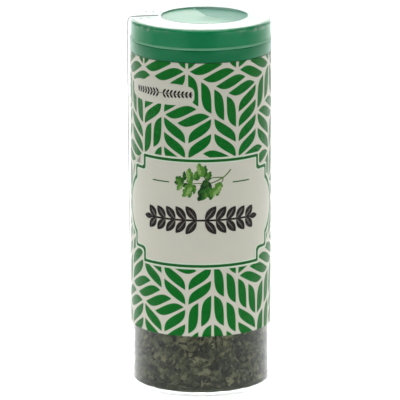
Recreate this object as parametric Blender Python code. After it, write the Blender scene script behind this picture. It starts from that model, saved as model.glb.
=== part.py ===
"""Dried-parsley shaker tube: clear tube, rotary sifter closure, printed label, shrink film and the herb fill.

Metres, +Z up. The origin is the middle of the foot ring's plane. The front of the label faces -Y.
Every turned piece is a closed profile of (radius, height) points in millimetres, spun about Z.
"""

import math

import bmesh
import bpy
from mathutils import Matrix, Vector

MM = 0.001
SEGMENTS = 48

# Clear tube
TUBE_RADIUS = 19.82
TUBE_WALL = 0.62
TUBE_FLOOR_UNDERSIDE = 0.5
TUBE_FLOOR_TOP = 1.3
FOOT_RING_INNER = 14.8
BASE_CORNER = 1.2
INNER_CORNER = 0.7
SHOULDER_LOW = 95.6
SHOULDER_HIGH = 96.4
NECK_RADIUS = 18.25
NECK_BORE = 17.4
NECK_BEAD = 18.7
NECK_TOP = 98.7

# Closure: the fixed sifter base, and the dial that turns on it
BASE_RADIUS = 20.02
BASE_SKIRT_LOW = 96.95
BASE_SKIRT_HIGH = 100.2
SNAP_LIP = 18.55
SKIRT_BORE = 19.0
PLUG_OUTER = 17.1
PLUG_INNER = 16.1
PLUG_LOW = 97.0
COLLAR_RADIUS = 18.0
COLLAR_BEAD = 18.6
SIFTER_LOW = 104.5
SIFTER_TOP = 105.5
SPRINKLE_HOLE_RADIUS = 2.0
SPRINKLE_MARGIN = 0.5
SPRINKLE_ROWS = ((6.4, 2), (11.9, 5))

DIAL_RADIUS = 19.8
DIAL_RIM_RADIUS = 20.02
DIAL_LOW = 100.4
DIAL_LIP_BORE = 18.3
DIAL_LIP_TOP = 101.8
DIAL_BORE = 18.95
DIAL_PLATE_LOW = 105.6
DIAL_TOP = 106.05
DIAL_EDGE = 0.9
DIAL_TRAVEL = math.radians(180.0)
WINDOW_RADIUS = 15.2
WINDOW_CORNER = 1.5
# The window's two sides meet at a blunt rounded apex, this far from the axis and this far off its middle direction
WINDOW_OFFSET = 2.7
WINDOW_HALF_DEG = 74.0
WINDOW_APEX_RADIUS = 8.0
# The window's middle direction at rest, counter-clockwise from +X, over the sifter's blank half
WINDOW_DIRECTION = math.radians(35.0)

# Stop: a lug inside the dial meets the ends of a rib round the collar
STOP_LOW = 103.4
STOP_HIGH = 104.2
STOP_RIB_RADIUS = 18.62
STOP_LUG_RADIUS = 18.32
STOP_LUG_HALF = math.radians(5.0)
STOP_PLAY = math.radians(1.5)
STOP_ROOT = 0.5

# Printed label
LABEL_INNER = 19.86
LABEL_OUTER = 20.02
LABEL_LOW = 17.9
LABEL_HIGH = 96.8

# Shrink film
FILM_INNER = 20.06
FILM_THICKNESS = 0.14
FILM_FOLD_HEIGHT = 0.7
FILM_FOLD_WIDTH = math.radians(5.0)
FILM_HOLE_RADIUS = 12.3
FILM_HOLE_SHIFT = Vector((1.0, 1.7))
FILM_SHOULDER = 1.25
FILM_UNDERCUT_DEG = 38.0

# Herb fill
FILL_CLEARANCE = 0.3
FILL_TOP = 99.9

COLOURS = {
    # name: (base colour, roughness, alpha)
    "clear_plastic": ((0.93, 0.95, 0.94), 0.05, 0.35),
    "green_plastic": ((0.012, 0.215, 0.085), 0.28, 1.0),
    "label_print": ((0.66, 0.66, 0.60), 0.45, 1.0),
    "clear_film": ((0.96, 0.97, 0.97), 0.06, 0.2),
    "dried_leaf": ((0.085, 0.095, 0.045), 0.85, 1.0),
}


def clear_scene():
    for obj in list(bpy.data.objects):
        bpy.data.objects.remove(obj, do_unlink=True)


def make_material(name):
    colour, roughness, alpha = COLOURS[name]
    material = bpy.data.materials.new(name)
    material.use_nodes = True
    shader = material.node_tree.nodes["Principled BSDF"]
    shader.inputs["Base Color"].default_value = (*colour, 1.0)
    shader.inputs["Roughness"].default_value = roughness
    shader.inputs["Metallic"].default_value = 0.0
    shader.inputs["Alpha"].default_value = alpha
    return material


def arc(centre, radius, start_deg, end_deg, steps):
    """Points of an arc in the (radius, height) plane."""
    angles = [math.radians(start_deg + (end_deg - start_deg) * i / steps) for i in range(steps + 1)]
    return [(centre[0] + radius * math.cos(a), centre[1] + radius * math.sin(a)) for a in angles]


def link_mesh(name, bm, material, smooth_deg=35.0):
    mesh = bpy.data.meshes.new(name)
    bm.to_mesh(mesh)
    bm.free()
    mesh.materials.append(material)
    mesh.shade_smooth()
    mesh.set_sharp_from_angle(angle=math.radians(smooth_deg))
    obj = bpy.data.objects.new(name, mesh)
    bpy.context.scene.collection.objects.link(obj)
    return obj


def turned(profile):
    """A bmesh of the closed (radius, height) profile in millimetres, spun once about Z."""
    bm = bmesh.new()
    ring = [bm.verts.new((radius * MM, 0.0, height * MM)) for radius, height in profile]
    edges = [bm.edges.new((ring[i], ring[i - 1])) for i in range(len(ring)) if on_section(ring, i)]
    bmesh.ops.spin(
        bm,
        geom=ring + edges,
        cent=(0, 0, 0),
        axis=(0, 0, 1),
        angle=2 * math.pi,
        steps=SEGMENTS,
        use_merge=True,
    )
    bmesh.ops.remove_doubles(bm, verts=bm.verts, dist=0.002 * MM)
    bmesh.ops.recalc_face_normals(bm, faces=bm.faces)
    return bm


def on_section(ring, i):
    """True unless the edge ending at point i runs along the axis, where the turned solid has no surface."""
    return ring[i].co.x > 0 or ring[i - 1].co.x > 0


def tube_profile():
    wall_inner = TUBE_RADIUS - TUBE_WALL
    outer = [(0, TUBE_FLOOR_UNDERSIDE), (FOOT_RING_INNER - 1.0, TUBE_FLOOR_UNDERSIDE)]
    outer += [(FOOT_RING_INNER, 0.0)]
    outer += arc((TUBE_RADIUS - BASE_CORNER, BASE_CORNER), BASE_CORNER, -90, 0, 6)
    outer += [(TUBE_RADIUS, SHOULDER_LOW), (NECK_RADIUS, SHOULDER_HIGH)]
    outer += [(NECK_RADIUS, 97.5), (NECK_BEAD, 97.8), (NECK_BEAD, 98.1), (NECK_RADIUS, 98.4)]
    outer += [(NECK_RADIUS, NECK_TOP), (NECK_BORE, NECK_TOP)]
    inner = [(NECK_BORE, SHOULDER_HIGH - 0.4), (wall_inner, SHOULDER_LOW - 0.5)]
    inner += arc((wall_inner - INNER_CORNER, TUBE_FLOOR_TOP + INNER_CORNER), INNER_CORNER, 0, -90, 5)
    return outer + inner + [(0, TUBE_FLOOR_TOP)]


def sifter_base_profile():
    """Outer skirt, ledge, beaded collar, sifter plate and the plug ring inside the neck."""
    outer = [(SNAP_LIP, BASE_SKIRT_LOW), (BASE_RADIUS - 0.3, BASE_SKIRT_LOW)]
    outer += [(BASE_RADIUS, BASE_SKIRT_LOW + 0.3), (BASE_RADIUS, BASE_SKIRT_HIGH - 0.2)]
    outer += [(BASE_RADIUS - 0.2, BASE_SKIRT_HIGH), (COLLAR_RADIUS, BASE_SKIRT_HIGH)]
    outer += [(COLLAR_RADIUS, 102.0), (COLLAR_BEAD, 102.4), (COLLAR_BEAD, 102.8), (COLLAR_RADIUS, 103.2)]
    outer += [(COLLAR_RADIUS, SIFTER_TOP - 0.3), (COLLAR_RADIUS - 0.3, SIFTER_TOP), (0, SIFTER_TOP)]
    inner = [(0, SIFTER_LOW), (PLUG_INNER - 0.6, SIFTER_LOW), (PLUG_INNER, SIFTER_LOW - 0.6)]
    inner += [(PLUG_INNER, PLUG_LOW), (PLUG_OUTER - 0.4, PLUG_LOW), (PLUG_OUTER, PLUG_LOW + 0.5)]
    inner += [(PLUG_OUTER, NECK_TOP + 0.3), (SKIRT_BORE, NECK_TOP + 0.3)]
    inner += [(SKIRT_BORE, BASE_SKIRT_LOW + 0.6), (SNAP_LIP, BASE_SKIRT_LOW + 0.3)]
    return outer + inner


def dial_profile():
    outer = [(0, DIAL_PLATE_LOW), (DIAL_BORE - 0.5, DIAL_PLATE_LOW), (DIAL_BORE, DIAL_PLATE_LOW - 0.5)]
    outer += [(DIAL_BORE, DIAL_LIP_TOP + 0.3), (DIAL_LIP_BORE, DIAL_LIP_TOP - 0.1)]
    outer += [(DIAL_LIP_BORE, DIAL_LOW + 0.2), (DIAL_LIP_BORE + 0.2, DIAL_LOW)]
    outer += [(DIAL_RIM_RADIUS - 0.1, DIAL_LOW), (DIAL_RIM_RADIUS, DIAL_LOW + 0.1)]
    outer += [(DIAL_RIM_RADIUS, DIAL_LOW + 0.25), (DIAL_RADIUS, DIAL_LOW + 0.6)]
    outer += arc((DIAL_RADIUS - DIAL_EDGE, DIAL_TOP - DIAL_EDGE), DIAL_EDGE, 0, 90, 5)
    return outer + [(0, DIAL_TOP)]


def film_profile():
    """A thin shell from under the tube's base corner, up the side and over the dial's edge."""
    outer_radius = FILM_INNER + FILM_THICKNESS
    top = DIAL_TOP + 0.31
    shoulder = (FILM_INNER - FILM_SHOULDER, top - FILM_SHOULDER)
    corner = (TUBE_RADIUS - BASE_CORNER, BASE_CORNER)
    corner_inner = FILM_INNER - corner[0]
    inside = arc(corner, corner_inner, -FILM_UNDERCUT_DEG, 0, 4)
    inside += arc(shoulder, FILM_SHOULDER, 0, 90, 5) + [(FILM_HOLE_RADIUS, top)]
    outside = [(FILM_HOLE_RADIUS, top + FILM_THICKNESS)]
    outside += arc(shoulder, FILM_SHOULDER + FILM_THICKNESS, 90, 0, 5)
    outside += arc(corner, outer_radius - corner[0], 0, -FILM_UNDERCUT_DEG, 4)
    return inside + outside


def fill_profile():
    wall = TUBE_RADIUS - TUBE_WALL - FILL_CLEARANCE
    plug = PLUG_INNER - FILL_CLEARANCE
    floor = TUBE_FLOOR_TOP + FILL_CLEARANCE
    corner = INNER_CORNER
    points = [(0, floor)] + arc((wall - corner, floor + corner), corner, -90, 0, 5)
    points += [(wall, SHOULDER_LOW - 0.9), (plug, PLUG_LOW - 0.7), (plug, FILL_TOP - 1.5)]
    return points + [(plug - 2.5, FILL_TOP), (0, FILL_TOP)]


def make_helper(name, bm):
    """A hidden solid for a Boolean to cut away or to join on."""
    mesh = bpy.data.meshes.new(name)
    bmesh.ops.recalc_face_normals(bm, faces=bm.faces)
    bm.to_mesh(mesh)
    bm.free()
    obj = bpy.data.objects.new(name, mesh)
    bpy.context.scene.collection.objects.link(obj)
    obj.hide_render = True
    obj.display_type = "WIRE"
    return obj


def apply_boolean(obj, helper, operation):
    modifier = obj.modifiers.new(helper.name, "BOOLEAN")
    modifier.operation = operation
    modifier.solver = "EXACT"
    modifier.object = helper


def ring_sector(name, inner, outer, start, end):
    """A short length of rectangular ring at the stop's height, from angle start to angle end."""
    steps = max(2, round((end - start) / (2 * math.pi) * SEGMENTS))
    bm = bmesh.new()
    corners = [(inner, STOP_LOW), (outer, STOP_LOW), (outer, STOP_HIGH), (inner, STOP_HIGH)]
    section = bm.faces.new([bm.verts.new((radius * MM, 0.0, height * MM)) for radius, height in corners])
    bmesh.ops.rotate(bm, verts=bm.verts, matrix=Matrix.Rotation(start, 3, "Z"))
    bmesh.ops.spin(bm, geom=[section], cent=(0, 0, 0), axis=(0, 0, 1), angle=end - start, steps=steps)
    bmesh.ops.remove_doubles(bm, verts=bm.verts, dist=0.002 * MM)
    return make_helper(name, bm)


def stop_rib():
    start = WINDOW_DIRECTION + DIAL_TRAVEL + STOP_LUG_HALF + STOP_PLAY
    end = WINDOW_DIRECTION + 2 * math.pi - STOP_LUG_HALF - STOP_PLAY
    return ring_sector("join_stop_rib", COLLAR_RADIUS - STOP_ROOT, STOP_RIB_RADIUS, start, end)


def stop_lug():
    start = WINDOW_DIRECTION - STOP_LUG_HALF
    end = WINDOW_DIRECTION + STOP_LUG_HALF
    return ring_sector("join_stop_lug", STOP_LUG_RADIUS, DIAL_BORE + STOP_ROOT, start, end)


def sprinkle_places():
    """Centres of the sifter's holes, on the half opposite the window at rest."""
    middle = WINDOW_DIRECTION + math.pi
    places = []
    half = math.radians(WINDOW_HALF_DEG)
    clear = WINDOW_OFFSET * math.sin(half) + SPRINKLE_HOLE_RADIUS + SPRINKLE_MARGIN
    for radius, count in SPRINKLE_ROWS:
        reach = half - math.asin(clear / radius)
        for i in range(count):
            angle = middle + reach * (2 * i / (count - 1) - 1)
            places.append((radius * math.cos(angle), radius * math.sin(angle)))
    return places


def sprinkle_cutter():
    bm = bmesh.new()
    middle_height = (SIFTER_LOW + SIFTER_TOP) / 2
    for x, y in sprinkle_places():
        bmesh.ops.create_cone(
            bm,
            cap_ends=True,
            segments=20,
            radius1=SPRINKLE_HOLE_RADIUS * MM,
            radius2=SPRINKLE_HOLE_RADIUS * MM,
            depth=3.0 * MM,
            matrix=Matrix.Translation((x * MM, y * MM, middle_height * MM)),
        )
    return make_helper("cut_sprinkle_holes", bm)


def window_outline():
    """The window's outline about +X: an outer arc, two rounded corners and two sides that meet at the apex."""
    half = math.radians(WINDOW_HALF_DEG)
    inset = WINDOW_RADIUS - WINDOW_CORNER
    turn = half - math.asin((WINDOW_CORNER + WINDOW_OFFSET * math.sin(half)) / inset)
    turn_deg, side_deg = math.degrees(turn), 90.0 + WINDOW_HALF_DEG
    corner_x, corner_y = inset * math.cos(turn), inset * math.sin(turn)
    lower = arc((corner_x, -corner_y), WINDOW_CORNER, -side_deg, -turn_deg, 5)
    round_side = arc((0, 0), WINDOW_RADIUS, -turn_deg, turn_deg, 24)
    upper = arc((corner_x, corner_y), WINDOW_CORNER, turn_deg, side_deg, 5)
    apex_x = WINDOW_OFFSET + WINDOW_APEX_RADIUS / math.sin(half)
    apex = arc((apex_x, 0), WINDOW_APEX_RADIUS, side_deg, 360.0 - side_deg, 6)
    return lower + round_side[1:-1] + upper + apex


def window_cutter():
    bm = bmesh.new()
    low = (DIAL_PLATE_LOW - 1.0) * MM
    depth = (DIAL_TOP - DIAL_PLATE_LOW + 2.0) * MM
    face = bm.faces.new([bm.verts.new((x * MM, y * MM, low)) for x, y in window_outline()])
    pushed = bmesh.ops.extrude_face_region(bm, geom=[face])
    top = [v for v in pushed["geom"] if isinstance(v, bmesh.types.BMVert)]
    bmesh.ops.translate(bm, verts=top, vec=(0, 0, depth))
    bmesh.ops.rotate(bm, verts=bm.verts, matrix=Matrix.Rotation(WINDOW_DIRECTION, 3, "Z"))
    return make_helper("cut_dial_window", bm)


def shape_film(bm):
    """Raises the two lengthwise folds at +X and -X, and moves the top hole off centre."""
    for vert in bm.verts:
        radius = vert.co.xy.length
        if radius > (FILM_INNER - FILM_SHOULDER - 0.01) * MM:
            away = abs(math.atan2(vert.co.y, abs(vert.co.x)))
            swell = FILM_FOLD_HEIGHT * MM * math.exp(-((away / FILM_FOLD_WIDTH) ** 2))
            vert.co.xy *= (radius + swell) / radius
        if radius < (FILM_HOLE_RADIUS + 0.1) * MM:
            vert.co.xy += FILM_HOLE_SHIFT * MM


def make_tube(material):
    return link_mesh("clear_tube", turned(tube_profile()), material)


def make_sifter_base(material):
    base = link_mesh("sifter_base", turned(sifter_base_profile()), material)
    apply_boolean(base, sprinkle_cutter(), "DIFFERENCE")
    apply_boolean(base, stop_rib(), "UNION")
    return base


def make_dial(material):
    dial = link_mesh("dial", turned(dial_profile()), material)
    apply_boolean(dial, window_cutter(), "DIFFERENCE")
    apply_boolean(dial, stop_lug(), "UNION")
    return dial


def make_label(material):
    ring = [(LABEL_INNER, LABEL_LOW), (LABEL_OUTER, LABEL_LOW), (LABEL_OUTER, LABEL_HIGH), (LABEL_INNER, LABEL_HIGH)]
    return link_mesh("printed_label", turned(ring), material)


def make_film(material):
    bm = turned(film_profile())
    shape_film(bm)
    return link_mesh("shrink_film", bm, material)


def make_fill(material):
    return link_mesh("dried_parsley", turned(fill_profile()), material)


def main():
    clear_scene()
    materials = {name: make_material(name) for name in COLOURS}
    jar = bpy.data.objects.new("jar_frame", None)
    dial_axis = bpy.data.objects.new("dial_axis", None)
    for empty in (jar, dial_axis):
        bpy.context.scene.collection.objects.link(empty)
    dial_axis.parent = jar
    fixed = [
        make_tube(materials["clear_plastic"]),
        make_sifter_base(materials["green_plastic"]),
        make_label(materials["label_print"]),
        make_film(materials["clear_film"]),
        make_fill(materials["dried_leaf"]),
    ]
    for piece in fixed:
        piece.parent = jar
    make_dial(materials["green_plastic"]).parent = dial_axis


main()
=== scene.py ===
"""Herb shaker tube: a clear tube of dried parsley with a rotary closure, a printed label and a shrink film.

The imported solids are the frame: every piece here is made round their boxes, about the Z axis, in metres.
The front of the label faces -Y.
"""

import math

import bmesh
import bpy
import numpy as np
from bpy.props import FloatProperty, FloatVectorProperty, IntProperty, PointerProperty
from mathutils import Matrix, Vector
from mathutils.noise import noise


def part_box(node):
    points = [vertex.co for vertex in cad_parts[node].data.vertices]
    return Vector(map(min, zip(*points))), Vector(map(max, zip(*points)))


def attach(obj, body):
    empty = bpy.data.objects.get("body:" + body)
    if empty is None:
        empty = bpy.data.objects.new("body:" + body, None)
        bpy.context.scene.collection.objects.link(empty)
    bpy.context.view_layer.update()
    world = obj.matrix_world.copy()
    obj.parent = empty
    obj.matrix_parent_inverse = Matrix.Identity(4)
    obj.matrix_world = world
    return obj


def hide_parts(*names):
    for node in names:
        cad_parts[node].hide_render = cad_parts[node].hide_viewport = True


bl_info = {
    "name": "Herb Shaker Tube",
    "version": (1, 0, 0),
    "blender": (4, 5, 0),
    "location": "3D View > Sidebar > Herb Shaker",
    "description": "Builds a dried-herb shaker tube, piece by piece, and its studio stage",
    "category": "Object",
}

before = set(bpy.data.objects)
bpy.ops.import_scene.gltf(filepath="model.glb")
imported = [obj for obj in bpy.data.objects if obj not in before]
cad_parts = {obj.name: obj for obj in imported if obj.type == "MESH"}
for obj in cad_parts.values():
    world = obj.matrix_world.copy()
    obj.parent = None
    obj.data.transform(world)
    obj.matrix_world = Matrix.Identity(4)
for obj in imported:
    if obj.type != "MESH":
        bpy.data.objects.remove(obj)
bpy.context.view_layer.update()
TUBE_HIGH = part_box("clear_tube")[1]
BASE_LOW, BASE_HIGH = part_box("sifter_base")
DIAL_LOW, DIAL_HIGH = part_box("dial")
LABEL_LOW, LABEL_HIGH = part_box("printed_label")
FILM_LOW, FILM_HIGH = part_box("shrink_film")
FILL_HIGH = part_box("dried_parsley")[1]

MM = 0.001
SMOOTH_ANGLE = math.radians(32.0)
ROUND_SEGMENTS = 192


# ---------------------------------------------------------------- settings


def length(name, description, default):
    """A length property, given in millimetres."""
    return FloatProperty(name=name, description=description, default=default * MM, min=0.0, unit="LENGTH")


def colour(name, description, default):
    return FloatVectorProperty(
        name=name, description=description, default=default, size=3, min=0.0, max=1.0, subtype="COLOR"
    )


def angle(name, description, degrees):
    return FloatProperty(name=name, description=description, default=math.radians(degrees), subtype="ANGLE")


def factor(name, description, default):
    return FloatProperty(name=name, description=description, default=default, min=0.0, max=1.0, subtype="FACTOR")


def count(name, description, default, least=0):
    return IntProperty(name=name, description=description, default=default, min=least)


def power(name, description, default):
    return FloatProperty(name=name, description=description, default=default, unit="POWER")


class TubeSettings(bpy.types.PropertyGroup):
    wall: length("Wall", "Thickness of the clear wall", 0.46)
    floor_top: length("Floor top", "Height of the inside floor", 1.0)
    recess: length("Recess", "Height of the hollow under the floor", 0.4)
    bend: FloatProperty(name="Bend", description="How much the clear wall bends light", default=1.26, min=1.0)
    corner: length("Corner", "Radius of the outside base corner", 1.2)
    tint: colour("Tint", "Colour of the clear plastic", (0.97, 0.985, 0.975))


class ClosureSettings(bpy.types.PropertyGroup):
    plate: length("Plate", "Thickness of the dial's plate", 0.45)
    edge: length("Edge", "Radius of the dial's upper edge", 0.9)
    rim: length("Rim", "How far the rim round the dial's lower edge stands out", 0.22)
    window_radius: length("Window radius", "Radius of the window's outer side", 15.2)
    window_corner: length("Window corner", "Radius of the window's outer corners", 1.5)
    window_offset: length("Window offset", "Distance of the window's apex from the axis", 2.7)
    window_apex: length("Window apex", "Radius of the window's apex", 8.0)
    window_half: angle("Window half angle", "Angle between the window's middle and each of its sides", 74.0)
    window_direction: angle("Window direction", "Direction of the window's middle, from +X", 35.0)
    hole_radius: length("Hole radius", "Radius of the sprinkle holes", 2.0)
    # Painted reflection: a pale tone for the sifter's plate that stands in for its glossy face reflecting the
    # bright room.
    plate_reflection_tone: colour("Painted reflection plate", "Colour of the sifter's plate under the window", (0.15, 0.4, 0.29))
    plastic: colour("Plastic", "Colour of the closure", (0.003, 0.2, 0.066))


class LabelSettings(bpy.types.PropertyGroup):
    columns: count("Columns", "Columns before the leaf lattice repeats, even", 16, 4)
    spacing: length("Spacing", "Side of the leaf lattice's triangles", 8.5)
    turns: count("Turns", "Random turns that mix the leaf lattice", 300)
    seed: count("Seed", "Seed of the leaf lattice", 5)
    branch: length("Branch", "Bare width between two leaves", 0.62)
    panel_low: length("Panel bottom", "Height of the panel's lower line", 38.4)
    panel_high: length("Panel top", "Height of the panel's upper line", 68.9)
    line: length("Line", "Width of the panel's line", 0.8)
    border: length("Border", "Bare border outside the panel's line", 0.95)
    paper: colour("Paper", "Colour of the bare label", (0.60, 0.595, 0.51))
    leaf: colour("Leaf ink", "Colour of the leaf pattern", (0.002, 0.14, 0.014))
    pale_ink: colour("Pale ink", "Colour of the pale line on both sides of the panel's line", (0.60, 0.74, 0.58))
    line_ink: colour("Line ink", "Colour of the panel's line", (0.008, 0.11, 0.016))
    dark_ink: colour("Dark ink", "Colour of the ornament", (0.022, 0.018, 0.017))


class FilmSettings(bpy.types.PropertyGroup):
    thickness: length("Thickness", "Thickness of the film", 0.06)
    hole_radius: length("Hole radius", "Radius of the hole on top", 12.3)
    shoulder: length("Shoulder", "Radius of the film's shoulder", 1.25)
    left_fold: length("Left fold", "How far the fold at -X stands out at the top", 0.62)
    right_fold: length("Right fold", "How far the fold at +X stands out at the top", 0.16)
    pleats: length("Pleats", "Depth of the pleats on the shoulder", 0.11)
    gloss: factor("Gloss", "Reflection of one face of the film, seen straight on", 0.002)
    glare: factor("Glare", "Reflection that is added as one face of the film is seen edge on", 0.22)
    top_glare: factor("Top glare", "Reflection that is added again on the film's flat top", 0.4)
    # The crumpled streaks are white haze kept to the shoulder's left and right sides: partly crumpled film, partly
    # painted highlight.
    haze: factor("Haze", "Strength of the crumpled streaks", 0.28)
    # Painted highlight: a thin band of white haze in the film over the dial's rim.
    rim_highlight_line: factor("Rim line", "Strength of the stretched line over the dial's rim", 0.03)
    crease: length("Crease", "Width of the line along the fold", 0.26)


class ParsleySettings(bpy.types.PropertyGroup):
    wall_flakes: count("Wall flakes", "Leaf flakes seen through the wall", 2600)
    floor_flakes: count("Floor flakes", "Leaf flakes on the floor", 500)
    top_flakes: count("Top flakes", "Leaf flakes under the sifter", 350)
    stems: count("Stems", "Bits of stem", 80)
    flake_size: length("Flake size", "Usual length of a leaf flake", 2.5)
    seed: count("Seed", "Seed of the herb fill", 5)
    dark: colour("Dark leaf", "Colour of the darkest flakes", (0.018, 0.022, 0.009))
    olive: colour("Olive leaf", "Colour of most flakes", (0.085, 0.1, 0.044))
    straw: colour("Straw", "Colour of the palest flakes and stems", (0.24, 0.245, 0.13))


class StageSettings(bpy.types.PropertyGroup):
    floor: colour("Floor", "Colour of the floor", (0.86, 0.86, 0.86))
    side_power: power("Side power", "Power of each side softbox", 5.6)
    top_power: power("Top power", "Power of the top softbox", 10.0)
    back_power: power("Back power", "Power of the back softbox", 9.0)
    table_glow: FloatProperty(name="Table glow", description="Light that the table gives", default=0.8, min=0.0)
    surround: factor("Surround", "Brightness of the room", 0.05)


class HerbShakerSettings(bpy.types.PropertyGroup):
    tube: PointerProperty(type=TubeSettings)
    closure: PointerProperty(type=ClosureSettings)
    label: PointerProperty(type=LabelSettings)
    film: PointerProperty(type=FilmSettings)
    parsley: PointerProperty(type=ParsleySettings)
    stage: PointerProperty(type=StageSettings)


# ---------------------------------------------------------------- nodes and finishes


def add_node(tree, kind, inputs=None, **settings):
    """Adds a shader node. An input's value is a socket to link or a plain value to set."""
    made = tree.nodes.new("ShaderNode" + kind)
    for key, value in settings.items():
        setattr(made, key, value)
    for key, value in (inputs or {}).items():
        socket = made.inputs[key]
        if isinstance(value, bpy.types.NodeSocket):
            tree.links.new(value, socket)
        else:
            socket.default_value = value
    return made


def calc(tree, operation, first, second=0.5, third=0.5, clamp=False):
    """The result of a Math node."""
    inputs = {0: first, 1: second, 2: third}
    return add_node(tree, "Math", inputs, operation=operation, use_clamp=clamp).outputs[0]


def cloud(tree, place, scale, detail, **more):
    """The value of a noise texture."""
    inputs = {"Vector": place, "Scale": scale, "Detail": detail, **more}
    return add_node(tree, "TexNoise", inputs).outputs["Fac"]


def rise_between(tree, value, start, end, top=1.0, **settings):
    """A value that rises from 0 to top while another goes from start to end."""
    inputs = {"Value": value, "From Min": start, "From Max": end, "To Max": top}
    return add_node(tree, "MapRange", inputs, **settings).outputs["Result"]


def blend(tree, factor, first, second):
    """A mix of two plain colours."""
    mixed = add_node(tree, "Mix", {"Factor": factor}, data_type="RGBA")
    mixed.inputs["A"].default_value = (*first, 1.0)
    mixed.inputs["B"].default_value = (*second, 1.0)
    return mixed.outputs["Result"]


def object_place(tree):
    return add_node(tree, "TexCoord").outputs["Object"]


def object_axes(tree):
    return add_node(tree, "SeparateXYZ", {"Vector": object_place(tree)}).outputs


def shared_group(name, inputs, outputs, fill):
    """A node group, made the first time it is asked for. fill turns its tree and inputs into its outputs."""
    if name in bpy.data.node_groups:
        return bpy.data.node_groups[name]
    group = bpy.data.node_groups.new(name, "ShaderNodeTree")
    for label, kind, default in inputs:
        socket = group.interface.new_socket(label, in_out="INPUT", socket_type="NodeSocket" + kind)
        socket.default_value = default
    for label, kind in outputs:
        group.interface.new_socket(label, in_out="OUTPUT", socket_type="NodeSocket" + kind)
    results = fill(group, group.nodes.new("NodeGroupInput").outputs)
    result = group.nodes.new("NodeGroupOutput")
    for (label, _), socket in zip(outputs, results):
        group.links.new(socket, result.inputs[label])
    return group


def start_finish(name, **values):
    """A material whose Principled shader has the given constant inputs, with underscores for spaces."""
    material = bpy.data.materials.new(name)
    material.use_nodes = True
    shader = material.node_tree.nodes["Principled BSDF"]
    for key, value in values.items():
        colour_value = isinstance(value, tuple)
        shader.inputs[key.replace("_", " ")].default_value = (*value, 1.0) if colour_value else value
    return material, material.node_tree, shader


def place_group(tree, group, **inputs):
    """Puts a shared node group into a material, with underscores for spaces in its input names."""
    made = tree.nodes.new("ShaderNodeGroup")
    made.node_tree = group
    for key, value in inputs.items():
        made.inputs[key.replace("_", " ")].default_value = value
    return made.outputs


def bump_into(tree, shader, height, strength, distance):
    bump = add_node(tree, "Bump", {"Height": height, "Strength": strength, "Distance": distance})
    tree.links.new(bump.outputs["Normal"], shader.inputs["Normal"])


def moulded_wear_group():
    """Handling wear of a smooth moulded face: smudges, fine scratches and a faint waviness."""

    def fill(tree, values):
        place = object_place(tree)
        smudge = cloud(tree, place, values["Scale"], 4.0)
        stretched = add_node(tree, "Mapping", {"Vector": place, "Scale": (1.0, 1.0, 0.06)}).outputs["Vector"]
        scratch = cloud(tree, stretched, 2600.0, 2.0)
        around = calc(tree, "SUBTRACT", smudge, 0.5)
        rough = calc(tree, "MULTIPLY_ADD", around, values["Smudge"], values["Roughness"])
        return rough, calc(tree, "MULTIPLY_ADD", scratch, 0.25, smudge)

    inputs = (("Roughness", "Float", 0.2), ("Smudge", "Float", 0.1), ("Scale", "Float", 60.0))
    return shared_group("Moulded Wear", inputs, (("Roughness", "Float"), ("Height", "Float")), fill)


def wear_into(tree, shader, roughness, smudge, scale, bump, depth=0.03):
    """Handling wear into a shader's roughness and normal."""
    wear = place_group(tree, moulded_wear_group(), Roughness=roughness, Smudge=smudge, Scale=scale)
    tree.links.new(wear["Roughness"], shader.inputs["Roughness"])
    bump_into(tree, shader, wear["Height"], bump, depth * MM)
    return wear["Roughness"]


def ink_group():
    """Ink on paper: a flat colour with a light mottle and the paper's grain."""

    def fill(tree, values):
        place = object_place(tree)
        grain = cloud(tree, place, 5200.0, 3.0)
        around = calc(tree, "SUBTRACT", calc(tree, "ADD", grain, cloud(tree, place, values["Scale"], 3.0)), 1.0)
        level = calc(tree, "MULTIPLY_ADD", around, values["Mottle"], 1.0)
        tinted = add_node(tree, "VectorMath", {0: values["Ink"], "Scale": level}, operation="SCALE")
        return tinted.outputs["Vector"], grain

    inputs = (("Ink", "Color", (1.0, 1.0, 1.0, 1.0)), ("Mottle", "Float", 0.1), ("Scale", "Float", 700.0))
    return shared_group("Ink on Paper", inputs, (("Colour", "Color"), ("Height", "Float")), fill)


def printed_finish(name, ink, mottle=0.12, scale=700.0):
    """Varnished print. The ink is a plain colour."""
    material, tree, shader = start_finish(name, Roughness=0.42, Specular_IOR_Level=0.06)
    print_out = place_group(tree, ink_group(), Ink=(*ink, 1.0), Mottle=mottle, Scale=scale)
    tree.links.new(print_out["Colour"], shader.inputs["Base Color"])
    bump_into(tree, shader, print_out["Height"], 0.12, 0.02 * MM)
    return material


def clear_plastic_finish(settings):
    """Clear wall, frosted round its foot."""
    clear = {"Transmission_Weight": 1.0, "IOR": settings.bend, "Base_Color": tuple(settings.tint)}
    material, tree, shader = start_finish("Clear Moulded Plastic", **clear)
    rough = wear_into(tree, shader, 0.03, 0.05, 90.0, 0.1)
    frost = rise_between(tree, object_axes(tree)["Z"], 1.7 * MM, 1.0 * MM, 0.4)
    tree.links.new(calc(tree, "ADD", rough, frost), shader.inputs["Roughness"])
    return material


def green_plastic_finish(settings, name, depth=1.0, polished=False):
    """Moulded plastic: smudges, and a tone that shifts slightly over the surface. depth scales its colour."""
    sheen = {"Sheen_Weight": 0.4, "Sheen_Roughness": 0.4, "Sheen_Tint": (0.15, 0.85, 0.5)}
    material, tree, shader = start_finish(name, Specular_IOR_Level=0.3, **sheen)
    if not polished:
        shader.inputs["Specular Tint"].default_value = (0.35, 1.0, 0.75, 1.0)
        shader.inputs["Coat Weight"].default_value = 0.12
        shader.inputs["Coat Roughness"].default_value = 0.2
    full = [channel * depth for channel in settings.plastic]
    deep = [channel * 0.86 for channel in full]
    tone = blend(tree, cloud(tree, object_place(tree), 220.0, 3.0), deep, full)
    tree.links.new(tone, shader.inputs["Base Color"])
    wear_into(tree, shader, 0.22 if polished else 0.3, 0.08, 140.0, 0.15)
    return material


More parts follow.
